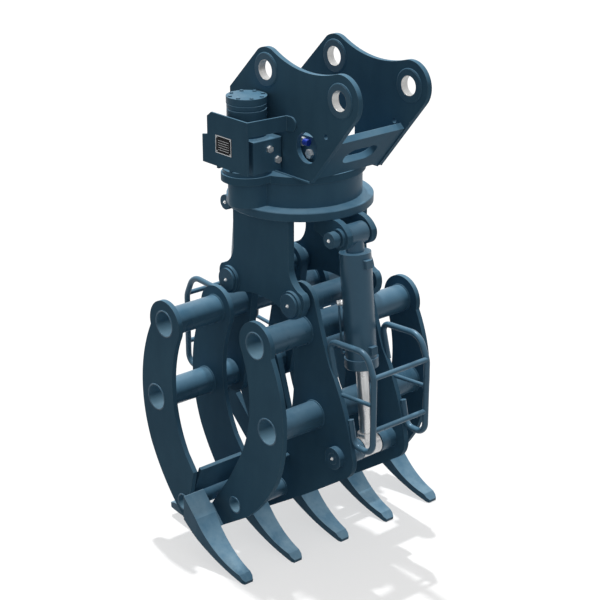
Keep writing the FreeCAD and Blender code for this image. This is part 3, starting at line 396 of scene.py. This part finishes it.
def new_piece(name, mesh, material, body):
    """A finished piece: its mesh in place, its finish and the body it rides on."""
    piece = bpy.data.objects.new(name, mesh)
    bpy.context.scene.collection.objects.link(piece)
    if mesh.materials:
        mesh.materials.clear()
    mesh.materials.append(material)
    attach(piece, body)
    return piece


def add_block(shape, low, high):
    """One box between two corners."""
    made = bmesh.ops.create_cube(shape, size=1.0)["verts"]
    size = Vector(high) - Vector(low)
    middle = (Vector(high) + Vector(low)) / 2
    for vert in made:
        vert.co = Vector((vert.co.x * size.x, vert.co.y * size.y, vert.co.z * size.z)) + middle


dress(anodised(), "nameplate")
plate_low, plate_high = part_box("nameplate")
TRIM_W = 0.0028
TRIM_PROUD = 0.0004
TRIM_SUNK = 0.0008
ROWS = 5
ROW_FIRST = 0.014
ROW_STEP = 0.0095
ROW_IN = 0.016
ROW_W = 0.0012
ROW_PROUD = 0.0002
RIVET_IN = 0.0075
RIVET_R = 0.0026
RIVET_FLAT = 0.45
shape = bmesh.new()
x0, x1, z0, z1 = plate_low.x, plate_high.x, plate_low.z, plate_high.z
out, back = plate_low.y - TRIM_PROUD, plate_low.y + TRIM_SUNK
for low, high in (((x0, z0), (x1, z0 + TRIM_W)), ((x0, z1 - TRIM_W), (x1, z1)),
                  ((x0, z0 + TRIM_W), (x0 + TRIM_W, z1 - TRIM_W)),
                  ((x1 - TRIM_W, z0 + TRIM_W), (x1, z1 - TRIM_W))):
    add_block(shape, (low[0], out, low[1]), (high[0], back, high[1]))
for row in range(ROWS):
    z = z0 + ROW_FIRST + row * ROW_STEP
    add_block(shape, (x0 + ROW_IN, plate_low.y - ROW_PROUD, z), (x1 - ROW_IN, back, z + ROW_W))
for x in (x0 + RIVET_IN, x1 - RIVET_IN):
    for z in (z0 + RIVET_IN, z1 - RIVET_IN):
        turn = Matrix.Rotation(math.radians(90), 4, "X")
        place = Matrix.Translation((x, plate_low.y, z)) @ turn @ Matrix.Diagonal((1, 1, RIVET_FLAT, 1))
        bmesh.ops.create_uvsphere(shape, u_segments=14, v_segments=8, radius=RIVET_R, matrix=place)
mesh = bpy.data.meshes.new("nameplate_trim")
shape.to_mesh(mesh)
shape.free()
new_piece("nameplate_trim", mesh, bright_aluminium(), "head")


# The slewing drive inside the drum: bearing rings, rollers, ring gear, pinion and oil joint.
# Bare ground steel with a film of grease that lies in patches. The joint's still core shows
# from above and is painted.
def greased_steel():
    """Ground steel under a thin amber film."""
    material, tree, shader = new_material("greased_steel")
    place = add(tree, "ShaderNodeTexCoord").outputs["Object"]
    edge = use_group(tree, EDGE, Radius=0.0015, Breakup=0.3)
    film = cloud(tree, place, 14.0, 4.0, 0.6)
    colour = blend_colours(tree, ramp(tree, film, 0.4, 0.62), tone(142, 144, 145), tone(112, 104, 92))
    rubbed = maths(tree, "MULTIPLY", edge.outputs["Mask"], 0.5)
    colour = blend_colours(tree, rubbed, colour, tone(196, 197, 198))
    tree.links.new(colour, shader.inputs["Base Color"])
    tree.links.new(ramp(tree, film, 0.3, 0.7, 0.3, 0.2), shader.inputs["Roughness"])
    shader.inputs["Metallic"].default_value = 0.9
    lines = cloud(tree, stretched(tree, place, 1.0, 1.0, 6.0), 160.0, 2.0)
    bump = add(tree, "ShaderNodeBump", Strength=0.1, Distance=0.0003, Height=lines,
               Normal=edge.outputs["Normal"])
    tree.links.new(bump.outputs[0], shader.inputs["Normal"])
    return material


dress(greased_steel(), "bearing_inner_ring", "bearing_rollers", "ring_gear", "drive_pinion",
      "swivel_sleeve")
dress(SMOOTH_PAINT, "swivel_core")


# The turning frame: the thick turntable ring, two side plates with the jaw pins, and the lugs
# that carry the cylinders.
dress(SMOOTH_PAINT, "turntable", "jaw_pins", "cylinder_pins")
dress(PLATE_PAINT, "left_side_plate", "right_side_plate", "cylinder_lugs")


# The two jaws: flame cut tine plates, forged teeth welded to their ends, arms, cylinder brackets
# and the bent bar guards. Each tine's plate is thinner than the CAD node whose place it takes.
TUBE_PAINT = enamel("painted_tube", edge_radius=0.002, edge_highlight_share=0.7, dust_and_top_light_share=0.3, shine=0.42, rough=0.24)
# The teeth's enamel is much paler on the faces that look up: dust, and painted light on their tops.
TOOTH_PAINT = enamel("painted_teeth", edge_radius=0.004, edge_highlight_share=0.75, dust_and_top_light_share=0.85,
                     pale=tone(86, 122, 145))
TINE_BLOCK_T = 0.045
TINE_PLATE_T = 0.022
TINE_INSET = 0.003
HOLE_R = 0.054
HOLE_NEAR = 0.0003
MERGED = 0.00001
TUBE_R = 0.059
SMALL_TUBE_R = 0.038
LEFT_TUBES = ((-0.233, -1.057, TUBE_R), (-0.305, -1.412, TUBE_R), (-0.136, -1.847, SMALL_TUBE_R))
RIGHT_TUBES = ((0.193, -1.057, TUBE_R), (0.265, -1.412, TUBE_R), (0.047, -1.835, SMALL_TUBE_R))


def smooth_by_angle(shape, degrees=35.0):
    """Smooth faces, with a sharp edge wherever two faces meet at more than the angle."""
    for face in shape.faces:
        face.smooth = True
    for edge in shape.edges:
        edge.smooth = edge.calc_face_angle(math.pi) < math.radians(degrees)


def thin_tine(node, body, tubes):
    """A tine with its outline from the CAD node, its plate's own thickness and wider tube holes."""
    source = nodes[node].data
    mesh = bpy.data.meshes.new(node + "_plate")
    corners = [vert.co for vert in source.vertices]
    mesh.from_pydata(corners, [], [face.vertices[:] for face in source.polygons])
    shape = bmesh.new()
    shape.from_mesh(mesh)
    bmesh.ops.remove_doubles(shape, verts=shape.verts, dist=MERGED)
    low_y = min(vert.co.y for vert in shape.verts)
    for vert in shape.verts:
        vert.co.y = low_y + TINE_INSET + (vert.co.y - low_y) * TINE_PLATE_T / TINE_BLOCK_T
        for x, z, radius in tubes:
            away = Vector((vert.co.x - x, vert.co.z - z))
            if abs(away.length - HOLE_R) < HOLE_NEAR:
                vert.co.x, vert.co.z = Vector((x, z)) + away * (radius / HOLE_R)
    smooth_by_angle(shape)
    shape.to_mesh(mesh)
    shape.free()
    piece = new_piece(node + "_plate", mesh, PLATE_PAINT, body)
    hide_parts(node)


for side, tines in (("left", 5), ("right", 4)):
    tubes = LEFT_TUBES[:2] if side == "left" else RIGHT_TUBES[:2]
    for number in range(1, tines + 1):
        thin_tine(f"{side}_tine_{number}", f"{side}_jaw", tubes)
    dress(TUBE_PAINT, f"{side}_pivot_tube", f"{side}_guard", f"{side}_rod_pin")
    dress(PLATE_PAINT, f"{side}_web_plates")
    dress(TOOTH_PAINT, f"{side}_teeth")
dress(PLATE_PAINT, "left_arms", "left_cylinder_brackets")
dress(TUBE_PAINT, "right_rod_pin_bosses")


# The cross tubes of the jaws: drawn steel tube with a thin wall, cut square, pushed through the
# tines and welded. Their ends stay open, with the bores painted paler: painted light inside.
TUBE_WALL = 0.0065
TUBE_END_BEVEL = 0.0022
TUBE_STEPS = 72


def add_tube(shape, x, z, radius, low, high):
    """An open tube along Y with a small chamfer round each rim, its bore in the second finish."""
    bore = radius - TUBE_WALL
    cut = TUBE_END_BEVEL
    section = ((bore, low + cut), (bore + cut, low), (radius - cut, low), (radius, low + cut),
               (radius, high - cut), (radius - cut, high), (bore + cut, high), (bore, high - cut))
    rings = []
    for reach, y in section:
        turn = [2 * math.pi * step / TUBE_STEPS for step in range(TUBE_STEPS)]
        rings.append([shape.verts.new((x + reach * math.cos(a), y, z + reach * math.sin(a))) for a in turn])
    for ring, following in zip(rings, rings[1:] + rings[:1]):
        for step in range(TUBE_STEPS):
            after = (step + 1) % TUBE_STEPS
            face = shape.faces.new((ring[step], ring[after], following[after], following[step]))
            face.material_index = 1 if following is rings[0] else 0


# The bores' pale enamel is painted light, standing for light that falls into the open tubes.
PAINTED_LIGHT_BORE = enamel("painted_light_bore", edge_radius=0.001, shine=0.5, rough=0.28, peel=2.0,
                     deep=tone(84, 117, 135), pale=tone(98, 131, 148))
for side, tubes in (("left", LEFT_TUBES), ("right", RIGHT_TUBES)):
    low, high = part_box(f"{side}_cross_tubes")
    shape = bmesh.new()
    for x, z, radius in tubes:
        add_tube(shape, x, z, radius, low.y, high.y)
    bmesh.ops.recalc_face_normals(shape, faces=shape.faces)
    smooth_by_angle(shape)
    mesh = bpy.data.meshes.new(f"{side}_open_tubes")
    shape.to_mesh(mesh)
    shape.free()
    piece = new_piece(f"{side}_open_tubes", mesh, TUBE_PAINT, f"{side}_jaw")
    mesh.materials.append(PAINTED_LIGHT_BORE)
    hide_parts(f"{side}_cross_tubes")


# The cylinders: painted barrels and glands, and hard chromed rods, ground along their round
# and carrying a breath of oil.
def chrome():
    """Hard chrome, ground round and round, with an oil bloom."""
    material, tree, shader = new_material("chromed_rod")
    place = add(tree, "ShaderNodeTexCoord").outputs["Object"]
    bloom = cloud(tree, stretched(tree, place, 1.0, 1.0, 0.4), 18.0, 4.0, 0.6)
    rings = cloud(tree, stretched(tree, place, 0.05, 0.05, 1.0), 1500.0, 1.0)
    colour = blend_colours(tree, ramp(tree, bloom, 0.4, 0.65), tone(214, 214, 214), tone(196, 197, 198))
    tree.links.new(colour, shader.inputs["Base Color"])
    tree.links.new(ramp(tree, bloom, 0.35, 0.7, 0.26, 0.36), shader.inputs["Roughness"])
    shader.inputs["Metallic"].default_value = 0.7
    bump = add(tree, "ShaderNodeBump", Strength=0.05, Distance=0.0002, Height=rings)
    tree.links.new(bump.outputs[0], shader.inputs["Normal"])
    return material


dress(TUBE_PAINT, "left_barrel", "right_barrel", "left_gland", "right_gland")
dress(chrome(), "left_rod", "right_rod")


# The steel pipe that carries oil along each barrel to its rod end: bent tube, painted, screwed
# into a zinc plated union halfway up and into the barrel above the gland. Its route is given as
# distance below the pin and from the barrel's axis.
CYLINDER_PINS = {"right": (0.3099, -0.647), "left": (-0.3499, -0.647)}
ROD_PINS = {"right": (0.405, -1.557), "left": (-0.445, -1.557)}
PIPE_R = 0.0045
PIPE_AWAY = 0.079
PIPE_ROUTE = ((0.295, PIPE_AWAY), (0.31, PIPE_AWAY), (0.36, PIPE_AWAY), (0.42, PIPE_AWAY),
              (0.475, PIPE_AWAY), (0.496, PIPE_AWAY), (0.5, 0.07), (0.5, 0.055))
PIPE_TURN_IN, PIPE_TURN_NEAR = 0.6, 0.8
UNION_DOWN = 0.285
UNION_STEPS = ((0.058, 0.0135), (0.074, 0.0135), (0.0745, 0.011), (0.086, 0.011), (0.0875, 0.0095))


def turned(shape, base, along, steps, sides=24):
    """A solid of revolution from (distance along, radius) steps, closed at both ends."""
    frame_of = along.to_track_quat("Z", "X").to_matrix()
    rings = []
    for reach, radius in steps:
        turn = [2 * math.pi * step / sides for step in range(sides)]
        ring = [Vector((radius * math.cos(a), radius * math.sin(a), reach)) for a in turn]
        rings.append([shape.verts.new(base + frame_of @ point) for point in ring])
    for ring, following in zip(rings, rings[1:]):
        for step in range(sides):
            after = (step + 1) % sides
            shape.faces.new((ring[step], ring[after], following[after], following[step]))
    shape.faces.new(rings[0][::-1])
    shape.faces.new(rings[-1])


for side, sign in (("right", 1), ("left", -1)):
    pin, rod_pin = (Vector((x, 0.0, z)) for x, z in (CYLINDER_PINS[side], ROD_PINS[side]))
    down = (rod_pin - pin).normalized()
    inward = Vector((down.z, 0.0, -down.x)) * sign
    outward = inward * PIPE_TURN_IN + Vector((0.0, -PIPE_TURN_NEAR, 0.0))
    shape = bmesh.new()
    turned(shape, pin + down * UNION_DOWN, outward, UNION_STEPS)
    smooth_by_angle(shape)
    mesh = bpy.data.meshes.new(f"{side}_pipe_union")
    shape.to_mesh(mesh)
    shape.free()
    new_piece(f"{side}_pipe_union", mesh, ZINC, f"{side}_cylinder")
    curve = bpy.data.curves.new(f"{side}_oil_pipe", "CURVE")
    curve.dimensions = "3D"
    curve.bevel_depth = PIPE_R
    curve.bevel_resolution = 4
    curve.use_fill_caps = True
    line = curve.splines.new("NURBS")
    line.points.add(len(PIPE_ROUTE) - 1)
    for point, (reach, away) in zip(line.points, PIPE_ROUTE):
        point.co = (*(pin + down * reach + outward * away), 1.0)
    line.order_u = 3
    line.use_endpoint_u = True
    holder = bpy.data.objects.new(f"{side}_oil_pipe_line", curve)
    bpy.context.scene.collection.objects.link(holder)
    mesh = bpy.data.meshes.new_from_object(holder)
    bpy.data.objects.remove(holder)
    for face in mesh.polygons:
        face.use_smooth = True
    new_piece(f"{side}_oil_pipe", mesh, TUBE_PAINT, f"{side}_cylinder")


# Weld beads: a fillet laid round every tube where it meets a plate, round the pin bosses and
# along the feet of the ears and side plates. Each is a rippled bead, painted over.
def bead_tree():
    """A bead along every line of the input: a round section that swells at each ripple."""
    tree = bpy.data.node_groups.new("weld_bead", "GeometryNodeTree")
    tree.interface.new_socket(name="Lines", in_out="INPUT", socket_type="NodeSocketGeometry")
    for label, default in (("Bead Radius", 0.005), ("Ripple Pitch", 0.0075), ("Ripple Depth", 0.12)):
        socket = tree.interface.new_socket(name=label, in_out="INPUT", socket_type="NodeSocketFloat")
        socket.default_value = default
    tree.interface.new_socket(name="Paint", in_out="INPUT", socket_type="NodeSocketMaterial")
    tree.interface.new_socket(name="Beads", in_out="OUTPUT", socket_type="NodeSocketGeometry")
    given, result = tree.nodes.new("NodeGroupInput"), tree.nodes.new("NodeGroupOutput")
    curve = add(tree, "GeometryNodeMeshToCurve", Mesh=given.outputs["Lines"]).outputs[0]
    step = maths(tree, "DIVIDE", given.outputs["Ripple Pitch"], 3.0)
    curve = add(tree, "GeometryNodeResampleCurve", {"mode": "LENGTH"}, Curve=curve, Length=step).outputs[0]
    along = tree.nodes.new("GeometryNodeSplineParameter").outputs["Length"]
    turn = maths(tree, "DIVIDE", maths(tree, "MULTIPLY", along, 2 * math.pi), given.outputs["Ripple Pitch"])
    ripple = maths(tree, "MULTIPLY", maths(tree, "SINE", turn), given.outputs["Ripple Depth"])
    swell = maths(tree, "ADD", ripple, 1.0)
    ring = add(tree, "GeometryNodeCurvePrimitiveCircle", Resolution=6, Radius=given.outputs["Bead Radius"])
    body = add(tree, "GeometryNodeCurveToMesh", Curve=curve, Profile_Curve=ring.outputs[0], Scale=swell,
               Fill_Caps=True).outputs[0]
    body = add(tree, "GeometryNodeSetShadeSmooth", Geometry=body).outputs[0]
    body = add(tree, "GeometryNodeRealizeInstances", Geometry=body).outputs[0]
    paint = given.outputs["Paint"]
    body = add(tree, "GeometryNodeSetMaterial", Geometry=body, Material=paint).outputs[0]
    tree.links.new(body, result.inputs[0])
    return tree


BEAD = bead_tree()
WELD_PAINT = enamel("painted_weld", edge_radius=0.0012, edge_highlight_share=0.3, peel=2.0)
RING_STEPS = 48
RIPPLE_SHARE = 1.6


def ring_line(x, y, z, radius):
    """Points round a circle across Y, the last on the first."""
    turn = [2 * math.pi * step / RING_STEPS for step in range(RING_STEPS + 1)]
    return [(x + radius * math.cos(a), y, z + radius * math.sin(a)) for a in turn]


def grown(name, points, edges, tree, values):
    """The plain mesh that a Geometry Nodes tree makes of points and edges."""
    source = bpy.data.meshes.new(name + "_source")
    source.from_pydata(points, edges, [])
    holder = bpy.data.objects.new(name + "_holder", source)
    bpy.context.scene.collection.objects.link(holder)
    modifier = holder.modifiers.new("grown", "NODES")
    modifier.node_group = tree
    for socket in tree.interface.items_tree:
        if socket.in_out == "INPUT" and socket.name in values:
            modifier[socket.identifier] = values[socket.name]
    shown = holder.evaluated_get(bpy.context.evaluated_depsgraph_get())
    mesh = bpy.data.meshes.new_from_object(shown)
    mesh.name = name
    bpy.data.objects.remove(holder)
    return mesh


def weld(name, body, lines, radius):
    """All beads of one body, as one mesh."""
    points, edges = [], []
    for line in lines:
        first = len(points)
        points += line
        edges += [(first + i, first + i + 1) for i in range(len(line) - 1)]
    values = {"Bead Radius": radius, "Ripple Pitch": radius * RIPPLE_SHARE, "Paint": WELD_PAINT}
    new_piece(name, grown(name, points, edges, BEAD, values), WELD_PAINT, body)


# Beads round the cross tubes, on the faces of every tine that look at another one. The left
# middle tine starts at the middle tube, so the upper tube has none there.
LEFT_ROWS = (-0.54, -0.27, 0.0, 0.27, 0.54)
RIGHT_ROWS = (-0.405, -0.148, 0.148, 0.405)
MIDDLE_ROW = 2
MIDDLE_TINE_TOP = -1.2
JAW_BEAD_R = 0.0045
for name, body, tubes, rows in (("left_jaw_welds", "left_jaw", LEFT_TUBES, LEFT_ROWS),
                                ("right_jaw_welds", "right_jaw", RIGHT_TUBES, RIGHT_ROWS)):
    lines = []
    for x, z, tube_radius in tubes:
        for row, y in enumerate(rows):
            if body == "left_jaw" and row == MIDDLE_ROW and z > MIDDLE_TINE_TOP:
                continue
            near = y - TINE_BLOCK_T / 2 + TINE_INSET
            if row > 0:
                lines.append(ring_line(x, near, z, tube_radius))
            if row < len(rows) - 1:
                lines.append(ring_line(x, near + TINE_PLATE_T, z, tube_radius))
    weld(name, body, lines, JAW_BEAD_R)


# Beads round the pin bosses and along the feet of the ears, on both faces of each ear. The bead
# runs the whole length of an ear's foot on the base plate.
EAR_IN, EAR_OUT = 0.1715, 0.1935
EAR_BACK, EAR_FRONT = -0.228, 0.262
BASE_TOP = -0.405
BOSS_R = 0.065
HEAD_BEAD_R = 0.005
lines = []
for y in (-EAR_OUT, -EAR_IN, EAR_IN, EAR_OUT):
    for x, z in PIN_AXES:
        lines.append(ring_line(x, y, z, BOSS_R))
    lines.append([(EAR_BACK, y, BASE_TOP), (EAR_FRONT, y, BASE_TOP)])
weld("head_welds", "head", lines, HEAD_BEAD_R)


# Beads along the side plates, where they hang from the turntable: a heavier bead than the rest,
# on both faces of each plate.
SIDE_IN, SIDE_OUT = 0.185, 0.217
SIDE_BACK, SIDE_FRONT = -0.19, 0.15
TURNTABLE_LOW = -0.581
FRAME_BEAD_R = 0.006
lines = []
for y in (-SIDE_OUT, -SIDE_IN, SIDE_IN, SIDE_OUT):
    lines.append([(SIDE_BACK, y, TURNTABLE_LOW), (SIDE_FRONT, y, TURNTABLE_LOW)])
weld("frame_welds", "rotor", lines, FRAME_BEAD_R)


# Grease nipples, one screwed into the end of each pin: zinc plated steel, a hexagon with a short
# turned neck and a ball on it.
def nipple_tree():
    """A nipple on every point of the input, standing out along Y on the point's own side."""
    tree = bpy.data.node_groups.new("grease_nipple", "GeometryNodeTree")
    tree.interface.new_socket(name="Places", in_out="INPUT", socket_type="NodeSocketGeometry")
    for label, default in (("Hexagon Radius", 0.0075), ("Hexagon Height", 0.003),
                           ("Neck Radius", 0.0032), ("Neck Height", 0.0035), ("Ball Radius", 0.0036)):
        socket = tree.interface.new_socket(name=label, in_out="INPUT", socket_type="NodeSocketFloat")
        socket.default_value = default
    tree.interface.new_socket(name="Finish", in_out="INPUT", socket_type="NodeSocketMaterial")
    tree.interface.new_socket(name="Nipples", in_out="OUTPUT", socket_type="NodeSocketGeometry")
    given, result = tree.nodes.new("NodeGroupInput"), tree.nodes.new("NodeGroupOutput")
    sizes = given.outputs
    rise = maths(tree, "ADD", sizes["Hexagon Height"], sizes["Neck Height"])
    hexagon = add(tree, "GeometryNodeMeshCone", Vertices=6, Radius_Top=sizes["Hexagon Radius"],
                  Radius_Bottom=sizes["Hexagon Radius"], Depth=sizes["Hexagon Height"]).outputs["Mesh"]
    neck = add(tree, "GeometryNodeMeshCone", Vertices=16, Radius_Top=sizes["Neck Radius"],
               Radius_Bottom=sizes["Neck Radius"], Depth=rise).outputs["Mesh"]
    ball = add(tree, "GeometryNodeMeshUVSphere", Segments=16, Rings=8, Radius=sizes["Ball Radius"])
    lift = add(tree, "ShaderNodeCombineXYZ", Z=rise).outputs[0]
    ball = add(tree, "GeometryNodeTransform", Geometry=ball.outputs["Mesh"], Translation=lift).outputs[0]
    joined = tree.nodes.new("GeometryNodeJoinGeometry")
    for part in (hexagon, neck, ball):
        tree.links.new(part, joined.inputs[0])
    place = tree.nodes.new("GeometryNodeInputPosition").outputs[0]
    side = maths(tree, "SIGN", add(tree, "ShaderNodeSeparateXYZ", Vector=place).outputs["Y"])
    turn = add(tree, "ShaderNodeCombineXYZ", X=maths(tree, "MULTIPLY", side, -math.pi / 2)).outputs[0]
    points = add(tree, "GeometryNodeMeshToPoints", Mesh=sizes["Places"]).outputs[0]
    body = add(tree, "GeometryNodeInstanceOnPoints", Points=points, Instance=joined.outputs[0],
               Rotation=turn).outputs[0]
    body = add(tree, "GeometryNodeRealizeInstances", Geometry=body).outputs[0]
    body = add(tree, "GeometryNodeSetMaterial", Geometry=body, Material=sizes["Finish"]).outputs[0]
    tree.links.new(body, result.inputs[0])
    return tree


NIPPLE = nipple_tree()
JAW_PIN_END, CYLINDER_PIN_END = 0.241, -0.1355
RIGHT_ROD_PIN_END, LEFT_ROD_PIN_END = 0.1945, 0.0915
JAW_PINS = ((-0.22, -0.937), (0.18, -0.937))
NIPPLE_PLACES = {
    "rotor": [(x, y, z) for x, z in JAW_PINS for y in (-JAW_PIN_END, JAW_PIN_END)]
    + [(x, CYLINDER_PIN_END, z) for x, z in CYLINDER_PINS.values()],
    "right_jaw": [(ROD_PINS["right"][0], y, ROD_PINS["right"][1])
                  for y in (-RIGHT_ROD_PIN_END, RIGHT_ROD_PIN_END)],
    "left_jaw": [(ROD_PINS["left"][0], y, ROD_PINS["left"][1])
                 for y in (-LEFT_ROD_PIN_END, LEFT_ROD_PIN_END)],
}
for body, places in NIPPLE_PLACES.items():
    name = f"{body}_nipples"
    new_piece(name, grown(name, places, [], NIPPLE, {"Finish": ZINC}), ZINC, body)


# The studio: a pale floor in an even white room, and a high light a little behind the grapple.
# A third of it throws the shadow forward on the floor, and the rest reaches in between the
# plates. A weak soft lamp stands on the right.
FLOOR_Z = -2.0675
ROOM_LIGHT = 0.24
FLOOR_BOUNCE = 0.17
FLOOR_SHOWN = 0.72
FLOOR_HALF = 30.0


def what_sees(tree):
    """1 for the camera, and for what mirrors or glass show, else 0."""
    path = tree.nodes.new("ShaderNodeLightPath")
    seen = maths(tree, "MAXIMUM", path.outputs["Is Camera Ray"], path.outputs["Is Glossy Ray"])
    return maths(tree, "MAXIMUM", seen, path.outputs["Is Transmission Ray"])


def floor_finish():
    """A matt floor that shows pale with the object's shadow, and throws little light back."""
    material = bpy.data.materials.new("studio_floor")
    material.use_nodes = True
    tree = material.node_tree
    tree.nodes.clear()
    unseen = (FLOOR_BOUNCE, FLOOR_BOUNCE, FLOOR_BOUNCE, 1.0)
    colour = blend_colours(tree, what_sees(tree), unseen, (FLOOR_SHOWN, FLOOR_SHOWN, FLOOR_SHOWN, 1.0))
    matt = add(tree, "ShaderNodeBsdfDiffuse", Color=colour).outputs[0]
    add(tree, "ShaderNodeOutputMaterial", Surface=matt)
    return material


corners = [(x * FLOOR_HALF, y * FLOOR_HALF, FLOOR_Z) for x, y in ((-1, -1), (1, -1), (1, 1), (-1, 1))]
mesh = bpy.data.meshes.new("floor")
mesh.from_pydata(corners, [], [(0, 1, 2, 3)])
floor = bpy.data.objects.new("floor", mesh)
bpy.context.scene.collection.objects.link(floor)
mesh.materials.append(floor_finish())
floor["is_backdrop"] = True

world = bpy.data.worlds.new("room")
bpy.context.scene.world = world
world.use_nodes = True
tree = world.node_tree
tree.nodes.clear()
strength = maths(tree, "MULTIPLY_ADD", what_sees(tree), 1.0 - ROOM_LIGHT, ROOM_LIGHT)
room = add(tree, "ShaderNodeBackground", Color=(1.0, 1.0, 1.0, 1.0), Strength=strength).outputs[0]
add(tree, "ShaderNodeOutputWorld", Surface=room)


def lamp(name, kind, place, aim, power, **sizes):
    """A lamp that looks from one point to another."""
    light = bpy.data.lights.new(name, kind)
    light.energy = power
    for size, value in sizes.items():
        setattr(light, size, value)
    piece = bpy.data.objects.new(name, light)
    bpy.context.scene.collection.objects.link(piece)
    piece.location = place
    piece.rotation_euler = (Vector(aim) - Vector(place)).to_track_quat("-Z", "Y").to_euler()


OBJECT_MIDDLE = (0.0, 0.0, -1.0)
HIGH_PLACE = (-0.98, 0.53, 3.9)
lamp("lamp_high", "SUN", HIGH_PLACE, OBJECT_MIDDLE, 1.4, angle=math.radians(1.5))
lamp("lamp_plain", "SUN", HIGH_PLACE, OBJECT_MIDDLE, 2.7, use_shadow=False)
lamp("lamp_right", "AREA", (4.5, -1.0, 2.0), OBJECT_MIDDLE, 12.0, size=2.5)

# The camera stands where the photograph was taken from. Its place, tilt and lens were fitted to
# the pin bores, the tube ends and the tips in the photo.
camera = bpy.data.objects.new("camera", bpy.data.cameras.new("camera"))
bpy.context.scene.collection.objects.link(camera)
camera.location = (4.903, -4.286, 1.5345)
camera.rotation_euler = (math.radians(68.54), 0.0, math.radians(48.96))
camera.data.lens = 99.07
camera.data.sensor_width = 36.0
camera.data.clip_end = 200.0
bpy.context.scene.camera = camera
bpy.context.scene.view_settings.view_transform = "Standard"

low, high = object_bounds()
